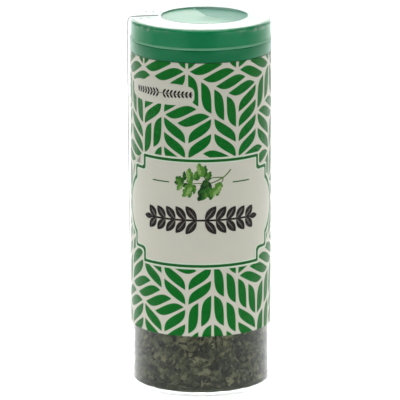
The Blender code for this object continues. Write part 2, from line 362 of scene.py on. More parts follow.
def painted_light_plastic(name, tone):
    """Matt, lightly scratched plastic in a pale tone. Every use of it is painted light: a painted highlight, a
    painted lit wall or a painted reflection.
    """
    material, tree, shader = start_finish(name, Specular_IOR_Level=0.3)
    print_out = place_group(tree, ink_group(), Ink=(*tone, 1.0), Mottle=0.3, Scale=400.0)
    tree.links.new(print_out["Colour"], shader.inputs["Base Color"])
    wear_into(tree, shader, 0.45, 0.1, 140.0, 0.2)
    return material


def film_haze_group():
    """Haze of crumpled film: white streaks on the shoulder, kept to its left and right sides as a painted
    highlight, and a painted highlight line over the dial's rim.
    """

    def fill(tree, values):
        x, _, z = object_axes(tree)
        squeezed = {"Vector": object_place(tree), "Scale": (1.0, 1.0, 0.35)}
        upright = add_node(tree, "Mapping", squeezed).outputs["Vector"]
        sharp = rise_between(tree, cloud(tree, upright, 1000.0, 4.0, Distortion=1.2), 0.46, 0.66)
        # Painted highlight: the streaks are kept to the left and right sides of the shoulder, where the light
        # falls.
        left = rise_between(tree, x, -8.0 * MM, -17.0 * MM)
        right = rise_between(tree, x, 5.0 * MM, 17.0 * MM)
        shoulder = values["Shoulder"]
        near_top = rise_between(tree, z, calc(tree, "SUBTRACT", shoulder, 1.1 * MM), shoulder)
        below_top = rise_between(tree, z, calc(tree, "ADD", shoulder, 0.9 * MM), shoulder)
        edge = calc(tree, "MULTIPLY", near_top, below_top)
        side_highlight_band = calc(tree, "MULTIPLY", edge, calc(tree, "ADD", left, right))
        streaks = calc(tree, "MULTIPLY", calc(tree, "MULTIPLY", sharp, side_highlight_band), values["Streaks"])
        # Painted highlight: a thin white line in the film over the dial's rim.
        off_rim = calc(tree, "ABSOLUTE", calc(tree, "SUBTRACT", z, values["Rim"]))
        line = calc(tree, "MULTIPLY", rise_between(tree, off_rim, 0.38 * MM, 0.12 * MM), values["Line"])
        return calc(tree, "ADD", streaks, line, clamp=True), calc(tree, "SUBTRACT", 1.0, below_top)

    inputs = (("Shoulder", "Float", 0.1), ("Rim", "Float", 0.1), ("Streaks", "Float", 0.3), ("Line", "Float", 0.1))
    return shared_group("Film Haze and Painted Highlights", inputs, (("Haze", "Float"), ("Top", "Float")), fill)


def film_finish(settings):
    """Thin clear film: a mirror that grows stronger seen edge on, and white haze that is partly crumpled film and
    partly painted highlight.
    """
    material, tree, shader = start_finish("Clear Shrink Film", Base_Color=(0.97, 0.98, 0.98))
    wear_into(tree, shader, 0.1, 0.12, 110.0, 0.25, 0.04)
    heights = {"Shoulder": FILM_HIGH.z - 1.0 * MM, "Rim": DIAL_LOW.z + 0.5 * MM}
    crumple = place_group(tree, film_haze_group(), **heights, Streaks=settings.haze, Line=settings.rim_highlight_line)
    facing = add_node(tree, "LayerWeight", {"Blend": 0.5}).outputs["Facing"]
    steep = calc(tree, "POWER", facing, 4.6)
    glare = calc(tree, "MULTIPLY_ADD", crumple["Top"], settings.top_glare, settings.glare)
    mirror = calc(tree, "MULTIPLY_ADD", steep, glare, settings.gloss)
    alpha = calc(tree, "ADD", mirror, crumple["Haze"], clamp=True)
    tree.links.new(alpha, shader.inputs["Alpha"])
    tree.links.new(calc(tree, "DIVIDE", mirror, alpha, clamp=True), shader.inputs["Metallic"])
    return material


def dried_leaf_finish(name, settings):
    """Dried leaf: each flake's own tone, from dark to straw, broken by veins and specks."""
    material, tree, shader = start_finish(name, Roughness=0.75, Specular_IOR_Level=0.1)
    tone = add_node(tree, "Attribute", attribute_name="tone").outputs["Fac"]
    speck = cloud(tree, object_place(tree), 1500.0, 4.0, Roughness=0.65)
    level = calc(tree, "ADD", tone, calc(tree, "MULTIPLY_ADD", speck, 0.7, -0.35))
    ramp = add_node(tree, "ValToRGB", {"Fac": level})
    stops = ramp.color_ramp.elements
    stops[0].position, stops[0].color = 0.0, (*settings.dark, 1.0)
    stops[1].position, stops[1].color = 1.0, (*settings.straw, 1.0)
    stops.new(0.5).color = (*settings.olive, 1.0)
    tree.links.new(ramp.outputs["Color"], shader.inputs["Base Color"])
    bump_into(tree, shader, speck, 0.5, 0.12 * MM)
    return material


# ---------------------------------------------------------------- mesh helpers


def add_piece(name, mesh, finish, body, slot, replaced=()):
    """Links a finished mesh as a piece of the object, riding on a body."""
    mesh.materials.append(finish)
    piece = bpy.data.objects.new(name, mesh)
    bpy.context.scene.collection.objects.link(piece)
    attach(piece, body)
    if replaced:
        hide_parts(*replaced)
    return piece


def finish_mesh(name, bm):
    mesh = bpy.data.meshes.new(name)
    bm.to_mesh(mesh)
    bm.free()
    mesh.shade_smooth()
    mesh.set_sharp_from_angle(angle=SMOOTH_ANGLE)
    return mesh


def add_solid(name, bm, *placing):
    """Turns a closed bmesh into a piece. placing is its finish, body, slot and the nodes that it replaces; the
    slot is not used.
    """
    bmesh.ops.recalc_face_normals(bm, faces=bm.faces)
    return add_piece(name, finish_mesh(name, bm), *placing)


def heading(turn):
    """The flat unit vector at an angle from +X."""
    return Vector((math.cos(turn), math.sin(turn)))


def left_of(ahead):
    return Vector((-ahead.y, ahead.x))


def full_turn(count):
    """Angles that divide a full turn evenly."""
    return [math.tau * k / count for k in range(count)]


def arc(centre, radius, start_deg, end_deg, steps):
    """Points of an arc in the (radius, height) plane."""
    angles = np.radians(np.linspace(start_deg, end_deg, steps + 1))
    return [(centre[0] + radius * math.cos(a), centre[1] + radius * math.sin(a)) for a in angles]


def add_ring(bm, points):
    return [bm.verts.new(point) for point in points]


def bridge(bm, lower, upper):
    """Quads between two closed rings of as many points."""
    for i in range(len(lower)):
        bm.faces.new((lower[i - 1], lower[i], upper[i], upper[i - 1]))


def bridge_all(bm, rings):
    for lower, upper in zip(rings, rings[1:]):
        bridge(bm, lower, upper)


def circle_points(radius, height):
    return [(radius * math.cos(t), radius * math.sin(t), height) for t in full_turn(ROUND_SEGMENTS)]


def turn_profile(bm, profile):
    """Turns (radius, height) points about Z, and returns the rings. A point on the axis is a single vertex."""
    rings = []
    for radius, height in profile:
        on_axis = radius < 1e-9
        rings.append(add_ring(bm, [(0, 0, height)] if on_axis else circle_points(radius, height)))
    for lower, upper in zip(rings, rings[1:]):
        if len(lower) == len(upper):
            bridge(bm, lower, upper)
        elif len(lower) == 1:
            fan(bm, lower[0], upper)
        else:
            fan(bm, upper[0], lower)
    return rings


def fan(bm, centre, ring):
    for i in range(len(ring)):
        bm.faces.new((centre, ring[i - 1], ring[i]))


def fill_between(bm, outer, holes):
    """Fills a flat face that has holes in it."""
    edges = []
    for ring in (outer, *holes):
        for i in range(len(ring)):
            edges.append(bm.edges.get((ring[i - 1], ring[i])) or bm.edges.new((ring[i - 1], ring[i])))
    bmesh.ops.triangle_fill(bm, edges=edges, use_beauty=True)


# ---------------------------------------------------------------- tube and closure

WINDOW_BEVEL = 0.42 * MM
HOLE_BEVEL = 0.18 * MM


def tube_profile(settings):
    radius, top = TUBE_HIGH.x, TUBE_HIGH.z
    inner = radius - settings.wall
    corner = settings.corner
    inside = corner - settings.wall
    foot = radius - corner
    neck, bore, bead = radius - 1.57 * MM, radius - 2.42 * MM, radius - 1.12 * MM
    shoulder = LABEL_HIGH.z - 1.2 * MM
    points = [(0, settings.recess), (foot - 4.7 * MM, settings.recess)]
    points += arc((foot - 3.6 * MM, 0.25 * MM), 0.25 * MM, 200, 270, 4)
    points += arc((foot, corner), corner, -90, 0, 16)
    points += [(radius, shoulder), (neck, shoulder + 0.8 * MM), (neck, top - 1.2 * MM)]
    points += [(bead, top - 0.9 * MM), (bead, top - 0.6 * MM), (neck, top - 0.3 * MM), (neck, top), (bore, top)]
    points += [(bore, shoulder + 0.4 * MM), (inner, shoulder - 0.5 * MM)]
    points += arc((inner - inside, settings.floor_top + inside), inside, 0, -90, 12)
    return points + [(0, settings.floor_top)]


def make_tube(settings):
    bm = bmesh.new()
    turn_profile(bm, tube_profile(settings))
    add_solid("tube_body", bm, clear_plastic_finish(settings), "jar", "clear_tube", ["clear_tube"])


def window_outline(settings, grow):
    """The window's outline, grown by a distance: an arc, two corners and two sides that meet at an apex."""
    half = settings.window_half
    corner, apex = settings.window_corner + grow, settings.window_apex + grow
    inset = settings.window_radius - settings.window_corner
    offset = settings.window_offset * math.sin(half) - grow
    turn = half - math.asin((corner + offset) / inset)
    turn_deg, side_deg = math.degrees(turn), 90.0 + math.degrees(half)
    x, y = inset * math.cos(turn), inset * math.sin(turn)
    points = arc((x, -y), corner, -side_deg, -turn_deg, 10)
    points += arc((0, 0), settings.window_radius + grow, -turn_deg, turn_deg, 72)[1:-1]
    points += arc((x, y), corner, turn_deg, side_deg, 10)
    points += arc(((apex + offset) / math.sin(half), 0), apex, side_deg, 360 - side_deg, 14)
    c, s = math.cos(settings.window_direction), math.sin(settings.window_direction)
    return [(x * c - y * s, x * s + y * c) for x, y in points]


def open_hole(bm, outline, low, high, bevel):
    """The wall of a hole whose upper edge is bevelled, with both of the bevel's corners eased.

    outline gives the hole's outline for how far it is grown. Returns the top and bottom rings.
    """
    eased = ((1.0, 0.0), (0.88, 0.04), (0.12, 0.8), (0.0, 1.0))
    steps = [(bevel * grow, high - bevel * drop) for grow, drop in eased] + [(0.0, low)]
    rings = [add_ring(bm, [(x, y, height) for x, y in outline(grow)]) for grow, height in steps]
    bridge_all(bm, rings)
    return rings[0], rings[-1]


def make_dial(settings):
    """The turning cover: skirt, retaining lip and a plate with the window."""
    rim, top, low = DIAL_HIGH.x, DIAL_HIGH.z, DIAL_LOW.z
    radius = rim - settings.rim
    bore, lip = radius - 0.85 * MM, radius - 1.5 * MM
    under = top - settings.plate
    bm = bmesh.new()
    profile = arc((radius - settings.edge, top - settings.edge), settings.edge, 90, 0, 10)
    profile += arc((radius + 0.12 * MM, low + 0.72 * MM), 0.12 * MM, 180, 225, 3)
    profile += arc((rim - 0.14 * MM, low + 0.3 * MM), 0.14 * MM, 45, 0, 4)
    profile += arc((rim - 0.14 * MM, low + 0.14 * MM), 0.14 * MM, 0, -90, 4)
    profile += [(lip + 0.2 * MM, low), (lip, low + 0.2 * MM), (lip, low + 1.3 * MM), (bore, low + 1.7 * MM)]
    profile += arc((bore - 0.5 * MM, under - 0.5 * MM), 0.5 * MM, 0, 90, 5)
    rings = turn_profile(bm, profile)
    window = open_hole(bm, lambda grow: window_outline(settings, grow), under, top, WINDOW_BEVEL)
    fill_between(bm, rings[0], [window[0]])
    fill_between(bm, rings[-1], [window[1]])
    green = green_plastic_finish(settings, "Green Moulded Plastic")
    piece = add_solid("dial_cover", bm, green, "dial", "green_closure", ["dial"])
    polish_top(piece, top, green_plastic_finish(settings, "Green Polished Plastic", polished=True))
    # Painted highlight: a lighter green band round the dial's lower rim stands in for the light that the rim
    # catches.
    painted_highlight_rim = painted_light_plastic("Painted Highlight Rim", (0.08, 0.35, 0.18))
    add_finish(piece, painted_highlight_rim, lambda face: face.center.z < low + 0.65 * MM and face.center.xy.length > radius)
    # Painted light: the window's wall lies in the shade of the recess and gets a pale tone so that it reads as
    # brightly lit.
    painted_light_wall = painted_light_plastic("Painted Light Window Wall", (0.42, 0.7, 0.58))
    reach = settings.window_radius + WINDOW_BEVEL
    add_finish(piece, painted_light_wall, lambda face: face.center.xy.length < reach and abs(face.normal.z) < 0.97)


def sprinkle_places(settings):
    """Centres of the sifter's holes, in two rows on the half opposite the window at rest."""
    middle = settings.window_direction + math.pi
    clear = settings.window_offset * math.sin(settings.window_half) + settings.hole_radius + 0.5 * MM
    places = []
    for radius, count in ((6.4 * MM, 2), (11.9 * MM, 5)):
        reach = settings.window_half - math.asin(clear / radius)
        for i in range(count):
            turn = middle + reach * (2 * i / (count - 1) - 1)
            places.append((radius * math.cos(turn), radius * math.sin(turn)))
    return places


def round_outline(place, radius):
    """A round hole's outline as a function of how far it is grown."""
    x, y = place
    return lambda grow: [
        (x + (radius + grow) * math.cos(t), y + (radius + grow) * math.sin(t)) for t in full_turn(40)
    ]


def make_sifter(settings):
    """The fixed closure piece: skirt, beaded collar, plug ring and the plate with the sprinkle holes."""
    radius, top, low = BASE_HIGH.x, BASE_HIGH.z, BASE_LOW.z
    skirt_top = low + 3.38 * MM
    collar, bead, plug = radius - 2.02 * MM, radius - 1.42 * MM, radius - 3.92 * MM
    neck_gap, snap = radius - 1.02 * MM, radius - 1.47 * MM
    under = top - 1.0 * MM
    bm = bmesh.new()
    profile = arc((collar - 0.3 * MM, top - 0.3 * MM), 0.3 * MM, 90, 0, 4)
    profile += [(collar, skirt_top + 3.0 * MM), (bead, skirt_top + 2.6 * MM), (bead, skirt_top + 2.2 * MM)]
    profile += [(collar, skirt_top + 1.8 * MM), (collar, skirt_top)]
    profile += arc((radius - 0.2 * MM, skirt_top - 0.2 * MM), 0.2 * MM, 90, 0, 5)
    profile += arc((radius - 0.15 * MM, low + 0.15 * MM), 0.15 * MM, 0, -90, 4)
    profile += [(snap, low), (snap, low + 0.45 * MM), (neck_gap, low + 0.75 * MM)]
    profile += [(neck_gap, low + 2.1 * MM), (plug + 1.0 * MM, low + 2.1 * MM), (plug + 1.0 * MM, low + 0.6 * MM)]
    profile += [(plug + 0.6 * MM, low + 0.1 * MM), (plug, low + 0.1 * MM)]
    profile += [(plug, under - 0.6 * MM), (plug - 0.6 * MM, under)]
    rings = turn_profile(bm, profile)
    outlines = [round_outline(place, settings.hole_radius) for place in sprinkle_places(settings)]
    holes = [open_hole(bm, outline, under, top, HOLE_BEVEL) for outline in outlines]
    fill_between(bm, rings[0], [hole[0] for hole in holes])
    fill_between(bm, rings[-1], [hole[1] for hole in holes])
    # Painted shade: the sifter uses the closure green darkened to 0.78, standing in for the darker look of its
    # lower band.
    side = green_plastic_finish(settings, "Painted Shade Green Plastic", 0.78)
    piece = add_solid("sifter_plate", bm, side, "jar", "green_closure", ["sifter_base"])
    # Painted reflection: the sifter's top faces get a pale tone in place of the reflection they would show.
    polish_top(piece, top, painted_light_plastic("Painted Reflection Plate", settings.plate_reflection_tone))


def add_finish(piece, finish, chosen):
    """Gives the chosen faces of a piece their own finish."""
    piece.data.materials.append(finish)
    for face in piece.data.polygons:
        if chosen(face):
            face.material_index = len(piece.data.materials) - 1


def polish_top(piece, top, finish):
    add_finish(piece, finish, lambda face: face.normal.z > 0.8 and face.center.z > top - 0.1 * MM)


# ---------------------------------------------------------------- label

PAPER_RADIUS = LABEL_HIGH.x - 0.04 * MM
PAPER_THICKNESS = 0.1 * MM
SEAM_OVERLAP = 7.0 * MM
SEAM_LIFT = 0.07 * MM
SEAM_EASE = 5.0 * MM

# Heights of the print above the paper, from the lowest layer to the highest
LEAF_LIFT = 0.015 * MM
PANEL_LIFT = 0.03 * MM
LINE_LIFT = 0.04 * MM
ART_LIFT = 0.045 * MM
ART_STEP = 0.004 * MM
# How far the print's underside lies in the paper, and the greatest width of its flat faces round the tube
PRINT_SINK = -0.01 * MM
PRINT_STEP = 1.2 * MM


def half_round():
    return math.pi * LABEL_HIGH.x


def sleeve_radius(across):
    """The paper's outer radius at an arc length from the front's middle line. It rises over the seam."""
    rise = (across - (half_round() - SEAM_OVERLAP - SEAM_EASE)) / SEAM_EASE
    rise = min(max(rise, 0.0), 1.0)
    return PAPER_RADIUS + SEAM_LIFT * rise * rise * (3 - 2 * rise)


def on_sleeve(across, height, lift):
    """A point on the label, at an arc length to the right of the front's middle line."""
    angle = across / LABEL_HIGH.x
    radius = sleeve_radius(across) + lift
    return radius * math.sin(angle), -radius * math.cos(angle), height


def make_paper(settings):
    """The paper sleeve, wound once round the tube with its end lapped over its start at the back."""
    heights = np.linspace(LABEL_LOW.z, LABEL_HIGH.z, 24)
    bm = bmesh.new()
    rings = []
    for across in np.linspace(-half_round() - SEAM_OVERLAP, half_round(), 3 * ROUND_SEGMENTS // 2):
        face = [on_sleeve(across, height, 0.0) for height in heights]
        back = [on_sleeve(across, height, -PAPER_THICKNESS) for height in heights[::-1]]
        rings.append(add_ring(bm, face + back))
    bridge_all(bm, rings)
    for ring in (rings[0], rings[-1]):
        for i in range(len(heights) - 1):
            bm.faces.new((ring[i], ring[i + 1], ring[-2 - i], ring[-1 - i]))
    paper = printed_finish("Label Paper", settings.paper, 0.05, 320.0)
    add_solid("label_paper", bm, paper, "jar", "printed_label", ["printed_label"])


def print_outline(bm, outline, lift):
    """Adds a closed (across, height) outline to bm as thin raised print that bends round the label."""
    flat = bmesh.new()
    flat.faces.new([flat.verts.new((across, height, 0.0)) for across, height in outline])
    bmesh.ops.triangulate(flat, faces=flat.faces)
    for height, side in ((LABEL_LOW.z, -1), (LABEL_HIGH.z, 1)):
        trim(flat, (0, height, 0), (0, side, 0), True)
        trim(flat, (side * half_round(), 0, 0), (side, 0, 0), True)
    lowest = min((v.co.x for v in flat.verts), default=0.0)
    highest = max((v.co.x for v in flat.verts), default=0.0)
    for k in range(math.ceil(lowest / PRINT_STEP), math.floor(highest / PRINT_STEP) + 1):
        trim(flat, (k * PRINT_STEP, 0, 0), (1, 0, 0), False)
    tops = {v: bm.verts.new(on_sleeve(v.co.x, v.co.y, lift)) for v in flat.verts}
    bottoms = {v: bm.verts.new(on_sleeve(v.co.x, v.co.y, PRINT_SINK)) for v in flat.verts}
    for face in flat.faces:
        corners = list(face.verts)
        bm.faces.new([tops[v] for v in corners])
        bm.faces.new([bottoms[v] for v in reversed(corners)])
    for edge in flat.edges:
        if edge.is_boundary:
            a, b = edge.verts
            bm.faces.new((tops[a], tops[b], bottoms[b], bottoms[a]))
    flat.free()


def trim(flat, place, normal, clear):
    """Cuts the flat print along a plane, and clears what lies beyond it if clear is true."""
    everything = [*flat.verts, *flat.edges, *flat.faces]
    bmesh.ops.bisect_plane(
        flat, geom=everything, dist=1e-8, plane_co=place, plane_no=normal, clear_outer=clear
    )


def add_print(name, outlines, lift, finish, step=0.0):
    """Prints outlines as one piece, each a step above the one before where they overlap."""
    bm = bmesh.new()
    for k, outline in enumerate(outlines):
        print_outline(bm, outline, lift + step * k)
    add_solid(name, bm, finish, "jar", "printed_label")


def bezier(start, first, second, end, steps):
    """Points of a cubic curve, without its end."""
    points = []
    for t in (k / steps for k in range(steps)):
        s = 1 - t
        points.append(s**3 * start + 3 * s * s * t * first + 3 * s * t * t * second + t**3 * end)
    return points


def flat_points(vectors):
    return [(v.x, v.y) for v in vectors]


# Steps to a lattice point's six neighbours, clockwise from straight up
NEIGHBOURS = ((0, 1), (1, 0), (1, -1), (0, -1), (-1, 0), (-1, 1))
LEAF_FULLNESS = 0.88


class LeafLattice:
    """A triangular lattice round the tube. Its edges are branches or gaps, and each gap joins two leaves."""

    def __init__(self, settings):
        self.columns = settings.columns
        self.side = settings.spacing
        self.pitch = self.side * math.cos(math.radians(30))
        self.rows = math.ceil((LABEL_HIGH.z - LABEL_LOW.z) / self.side) + 2
        self.random = np.random.default_rng(settings.seed)
        self.points = {
            (i, j)
            for i in range(self.columns)
            for j in range(-self.columns, self.rows + 1)
            if -1.6 < j + i / 2 < self.rows
        }
        self.gaps = set()
        for point in self.points:
            for step in NEIGHBOURS[:3]:
                edge = self.edge(point, step)
                if all((2 * i + j) % 3 for i, j in edge):
                    self.gaps.add(edge)

    def wrap(self, i, j):
        return i % self.columns, j + (i // self.columns) * (self.columns // 2)

    def edge(self, point, step):
        return frozenset((point, self.wrap(point[0] + step[0], point[1] + step[1])))

    def mix(self, turns):
        """Turns random hexagons of three diamonds by a sixth, so that the pattern doesn't repeat."""
        inside = sorted(
            p for p in self.points if all(self.wrap(p[0] + i, p[1] + j) in self.points for i, j in NEIGHBOURS)
        )
        for _ in range(turns):
            point = inside[self.random.integers(len(inside))]
            edges = [self.edge(point, step) for step in NEIGHBOURS]
            state = [edge in self.gaps for edge in edges]
            if state in ([True, False] * 3, [False, True] * 3):
                self.gaps.symmetric_difference_update(edges)

    def place(self, i, j):
        return Vector((i * self.pitch - half_round(), LABEL_LOW.z + (j + i / 2) * self.side))

    def diamonds(self):
        """The four corners of each diamond. The first and third are its wide ones."""
        for point in sorted(self.points):
            for k in range(3):
                if self.edge(point, NEIGHBOURS[k]) in self.gaps:
                    yield [
                        self.place(point[0] + i, point[1] + j)
                        for i, j in ((0, 0), NEIGHBOURS[k - 1], NEIGHBOURS[k], NEIGHBOURS[k + 1])
                    ]


def leaf_outline(sharp, wide, branch):
    """A pointed leaf in a slanted strip, from one sharp corner to the other, half a branch inside its sides."""
    centre = (sharp[0] + sharp[1]) / 2
    along, beside = (wide[0] - sharp[0]) / 2, (wide[1] - sharp[0]) / 2
    inset = branch / 2 / abs(along.x * beside.y - along.y * beside.x)
    along, beside = along * (1 - inset * beside.length), beside * (1 - inset * along.length)
    tip, end = centre - (along + beside) * 0.95, centre + (along + beside) * 0.95
    sides = []
    for start, stop, corner in ((tip, end, centre + along - beside), (end, tip, centre - along + beside)):
        sides += bezier(start, start.lerp(corner, LEAF_FULLNESS), stop.lerp(corner, LEAF_FULLNESS), stop, 11)
    return flat_points(sides)


def pattern_leaves(settings):
    lattice = LeafLattice(settings)
    lattice.mix(settings.turns)
    for first, left, second, right in lattice.diamonds():
        if lattice.random.random() < 0.5:
            left, right = right, left
        near, far = (first + right) / 2, (left + second) / 2
        for sharp, wide in (((left, near), (first, far)), ((far, right), (near, second))):
            outline = leaf_outline(sharp, wide, settings.branch)
            yield outline
            repeat = [(across + settings.columns * lattice.pitch, height) for across, height in outline]
            if min(across for across, _ in repeat) < half_round():
                yield repeat


def patch_outline():
    """The bare patch above the panel on the left: a flat oval."""
    shape = lambda value: math.copysign(abs(value) ** 0.55, value)
    return [
        (-13.2 * MM + 11.4 * MM * shape(math.cos(t)), 87.7 * MM + 3.1 * MM * shape(math.sin(t)))
        for t in full_turn(48)
    ]


def rounded(corners):
    """An outline through (across, height, rounding) corners."""
    outline = []
    for i, (across, height, rounding) in enumerate(corners):
        if rounding == 0:
            outline.append((across, height))
            continue
        corner = Vector((across, height))
        before, after = Vector(corners[i - 1][:2]), Vector(corners[(i + 1) % len(corners)][:2])
        start = corner + (before - corner).normalized() * rounding
        end = corner + (after - corner).normalized() * rounding
        outline += flat_points(bezier(start, start.lerp(corner, 0.6), end.lerp(corner, 0.6), end, 5) + [end])
    return outline


def panel_outline(settings, grow):
    """The panel's outline grown by a distance: notched corners and sides that bulge round the tube."""
    low, high = settings.panel_low - grow, settings.panel_high + grow
    narrow, step = 18.3 * MM + grow, 22.75 * MM + grow
    notch, bulge = 3.7 * MM, 4.4 * MM
    right = [(narrow, low, 0.35 * MM), (narrow, low + notch, 1.3 * MM), (step, low + notch, 0.7 * MM)]
    side_low, side_high = low + notch + 3.6 * MM, high - notch - 3.2 * MM
    for k in range(17):
        t = k / 16
        right.append((step + bulge * math.sin(math.pi * t) ** 0.8, side_low + (side_high - side_low) * t, 0))
    right += [(step, high - notch, 0.7 * MM), (narrow, high - notch, 1.1 * MM), (narrow, high, 0.35 * MM)]
    left = [(-across, height, rounding) for across, height, rounding in reversed(right)]
    return rounded(right + left)


def band(settings, outer, inner):
    """Quads that fill the band between the panel's outline grown by one distance and by another."""
    far, near = panel_outline(settings, outer), panel_outline(settings, inner)
    return [(far[i - 1], far[i], near[i], near[i - 1]) for i in range(len(far))]


def make_leaf_print(settings):
    bare = [panel_outline(settings, settings.border), patch_outline()]
    leaves = [leaf for leaf in pattern_leaves(settings) if not any(mostly_inside(leaf, place) for place in bare)]
    add_print("label_leaves", leaves, LEAF_LIFT, printed_finish("Leaf Ink", settings.leaf, 0.45))


def mostly_inside(outline, place):
    """True if at most a sliver of the outline lies outside the place."""
    return sum(inside(point, place) for point in outline) > 0.8 * len(outline)


def inside(point, outline):
    """True if the point is inside the closed outline."""
    x, y = point
    crossings = 0
    for (ax, ay), (bx, by) in zip(outline, outline[1:] + outline[:1]):
        if (ay > y) != (by > y) and x < ax + (bx - ax) * (y - ay) / (by - ay):
            crossings += 1
    return crossings % 2 == 1


def make_panel(settings):
    """The panel over the leaves: its bare ground, and its line."""
    plain = printed_finish("Plain Ground", settings.paper, 0.05, 320.0)
    add_print("label_panel", [panel_outline(settings, settings.border)], PANEL_LIFT, plain)
    add_print("label_bare_patch", [patch_outline()], PANEL_LIFT, plain)
    half = settings.line / 2
    pale, pale_half = printed_finish("Pale Line Ink", settings.pale_ink, 0.05), half + 0.32 * MM
    add_print("label_keyline", band(settings, pale_half, -pale_half), PANEL_LIFT + ART_STEP, pale)
    ink = printed_finish("Line Ink", settings.line_ink, 0.3)
    add_print("label_line", band(settings, half, -half), LINE_LIFT, ink)


def stroke(points, width, taper=0.0):
    """The outline of a thin stroke along points, which may taper towards its end."""
    left, right = [], []
    last = len(points) - 1
    for i, point in enumerate(points):
        ahead = points[min(i + 1, last)] - points[max(i - 1, 0)]
        side = left_of(ahead).normalized() * width / 2 * (1 - taper * i / last)
        left.append(point + side)
        right.append(point - side)
    return flat_points(left + right[::-1])


def curved(points, steps=8):
    """A smooth curve through a few points, given in millimetres."""
    points = [Vector(p) * MM for p in points]
    ends = [2 * points[0] - points[1], *points, 2 * points[-1] - points[-2]]
    path = []
    for before, start, end, after in zip(ends, ends[1:], ends[2:], ends[3:]):
        path += bezier(start, start + (end - before) / 6, end - (after - start) / 6, end, steps)
    return path + [points[-1]]


def herb_leaflet(base, size, direction, width):
    """A parsley leaflet from its base: rounded lobes along both sides of its middle."""
    ahead = heading(math.radians(direction))
    side = left_of(ahead)
    sides = ([], [])
    for t in (k / 24 for k in range(25)):
        swell = math.sin(math.pi * t**0.75) ** 0.55
        for points, sign, shift in zip(sides, (1, -1), (0.0, 0.5)):
            lobe = 0.45 + 0.55 * abs(math.sin(math.pi * (3.1 * t + shift))) ** 0.8
            points.append(base + ahead * size * t + side * (sign * width / 2 * swell * lobe))
    return flat_points(sides[0] + sides[1][-2:0:-1])


# Leaflets of the sprig: (right of the middle, above the middle, size, direction in degrees, width, tone), in mm
SPRIG_LEAFLETS = (
    (-0.5, 2.0, 4.2, 104, 2.5, 2),
    (0.1, 1.9, 3.5, 86, 1.8, 1),
    (0.9, 0.9, 2.9, 70, 1.7, 1),
    (-2.2, 1.0, 2.8, 84, 2.2, 1),
    (-3.9, 0.0, 4.6, 94, 2.5, 2),
    (-5.5, 1.0, 2.6, 92, 1.3, 0),
    (-5.8, 0.3, 2.8, 148, 2.6, 1),
    (-5.8, 0.3, 2.8, 182, 2.0, 0),
    (-6.3, 0.1, 2.6, 236, 1.8, 2),
    (-4.4, -0.2, 1.9, 196, 1.4, 0),
    (-3.4, 0.1, 4.8, 236, 2.7, 2),
    (-3.9, -1.6, 2.5, 262, 1.6, 1),
    (-2.8, -0.2, 2.7, 268, 1.4, 1),
    (1.5, 0.7, 6.5, 241, 3.4, 0),
    (0.5, -1.4, 2.3, 200, 1.8, 0),
    (0.6, 1.1, 2.0, 240, 1.6, 0),
    (1.2, -0.9, 3.8, 282, 2.7, 1),
    (0.4, -2.0, 2.5, 262, 1.7, 1),
    (4.9, 0.3, 4.0, 236, 2.6, 2),
    (3.9, -1.3, 2.3, 264, 1.7, 1),
    (3.1, -1.4, 2.6, 250, 1.8, 2),
)
SPRIG_STEMS = (
    ((7.8, 3.9), (6.8, 2.8), (5.4, 1.7), (2.8, 0.5), (0.6, 0.0), (-1.5, 0.2), (-3.9, 0.0), (-6.2, 0.2)),
    ((5.4, 1.7), (4.0, 1.8), (2.2, 1.7), (1.2, 0.9)),
    ((0.0, 2.1), (0.6, 1.1), (1.5, 0.3)),
    ((5.4, 1.7), (5.3, 0.8), (4.6, 0.0)),
)
SPRIG_CENTRE = Vector((0.9 * MM, 62.25 * MM))
SPRIG_TONES = ((0.012, 0.055, 0.014), (0.03, 0.13, 0.02), (0.085, 0.23, 0.035), (0.22, 0.38, 0.11))


def make_sprig():
    """A small printed sprig of flat parsley, in four tones of green."""
    lines = [stroke([p + SPRIG_CENTRE for p in curved(points)], 0.4 * MM, 0.4) for points in SPRIG_STEMS]
    add_print("sprig_stems", lines, ART_LIFT, printed_finish("Sprig Stem", (0.10, 0.17, 0.05), 0.3))
    layers = [[] for _ in SPRIG_TONES]
    for right, up, size, direction, width, tone in SPRIG_LEAFLETS:
        base, size, width = SPRIG_CENTRE + Vector((right, up)) * MM, size * MM, width * MM
        ahead = heading(math.radians(direction))
        side = left_of(ahead)
        layers[tone].append(herb_leaflet(base, size, direction, width))
        lit = base + ahead * 0.2 * size + side * 0.15 * width
        layers[tone + 1].append(herb_leaflet(lit, 0.7 * size, direction + 4, 0.5 * width))
        shaded = base + ahead * 0.05 * size - side * 0.2 * width
        layers[max(tone - 1, 0)].append(herb_leaflet(shaded, 0.6 * size, direction - 4, 0.35 * width))
    for number, (tone, outlines) in enumerate(zip(SPRIG_TONES, layers), 1):
        finish = printed_finish(f"Sprig Green {number}", tone, 0.6, 1400.0)
        add_print(f"sprig_leaves_{number}", outlines, ART_LIFT + ART_STEP * number, finish, 0.0002 * MM)


def slim_leaf(base, size, direction, width):
    """A plain pointed leaf from its base, with an even bulge on both sides."""
    ahead = heading(math.radians(direction))
    side = left_of(ahead) * width
    tip, near, far = base + ahead * size, base + ahead * size * 0.3, base + ahead * size * 0.7
    upper = bezier(base, near + side, far + side, tip, 8)
    return flat_points(upper + bezier(tip, far - side, near - side, base, 8))


def garland(centre, half, pairs, size, width):
    """Pairs of plain leaves along a stem, leaning outwards from its middle. Returns the leaves and their veins."""
    leaves, veins = [], []
    for side in (-1, 1):
        outward = 90 - side * 90
        for k in range(pairs):
            base = centre + Vector((side * (half * 0.07 + k * half / (pairs + 0.35)), 0.0))
            for lean in (-1, 1):
                direction = outward + side * lean * 52
                reach = size * (1 - 0.05 * k)
                leaves.append(slim_leaf(base, reach, direction, width))
                veins.append(slim_leaf(base, reach * 0.8, direction, width * 0.13))
        tip = centre + Vector((side * half * 0.9, 0.0))
        leaves.append(slim_leaf(tip, size * 0.62, outward, width * 0.7))
    ends = [centre + Vector((side * half * 0.93, 0.0)) for side in (-1, 1)]
    leaves.append(stroke([ends[0], centre, ends[1]], width * 0.36))
    return leaves, veins


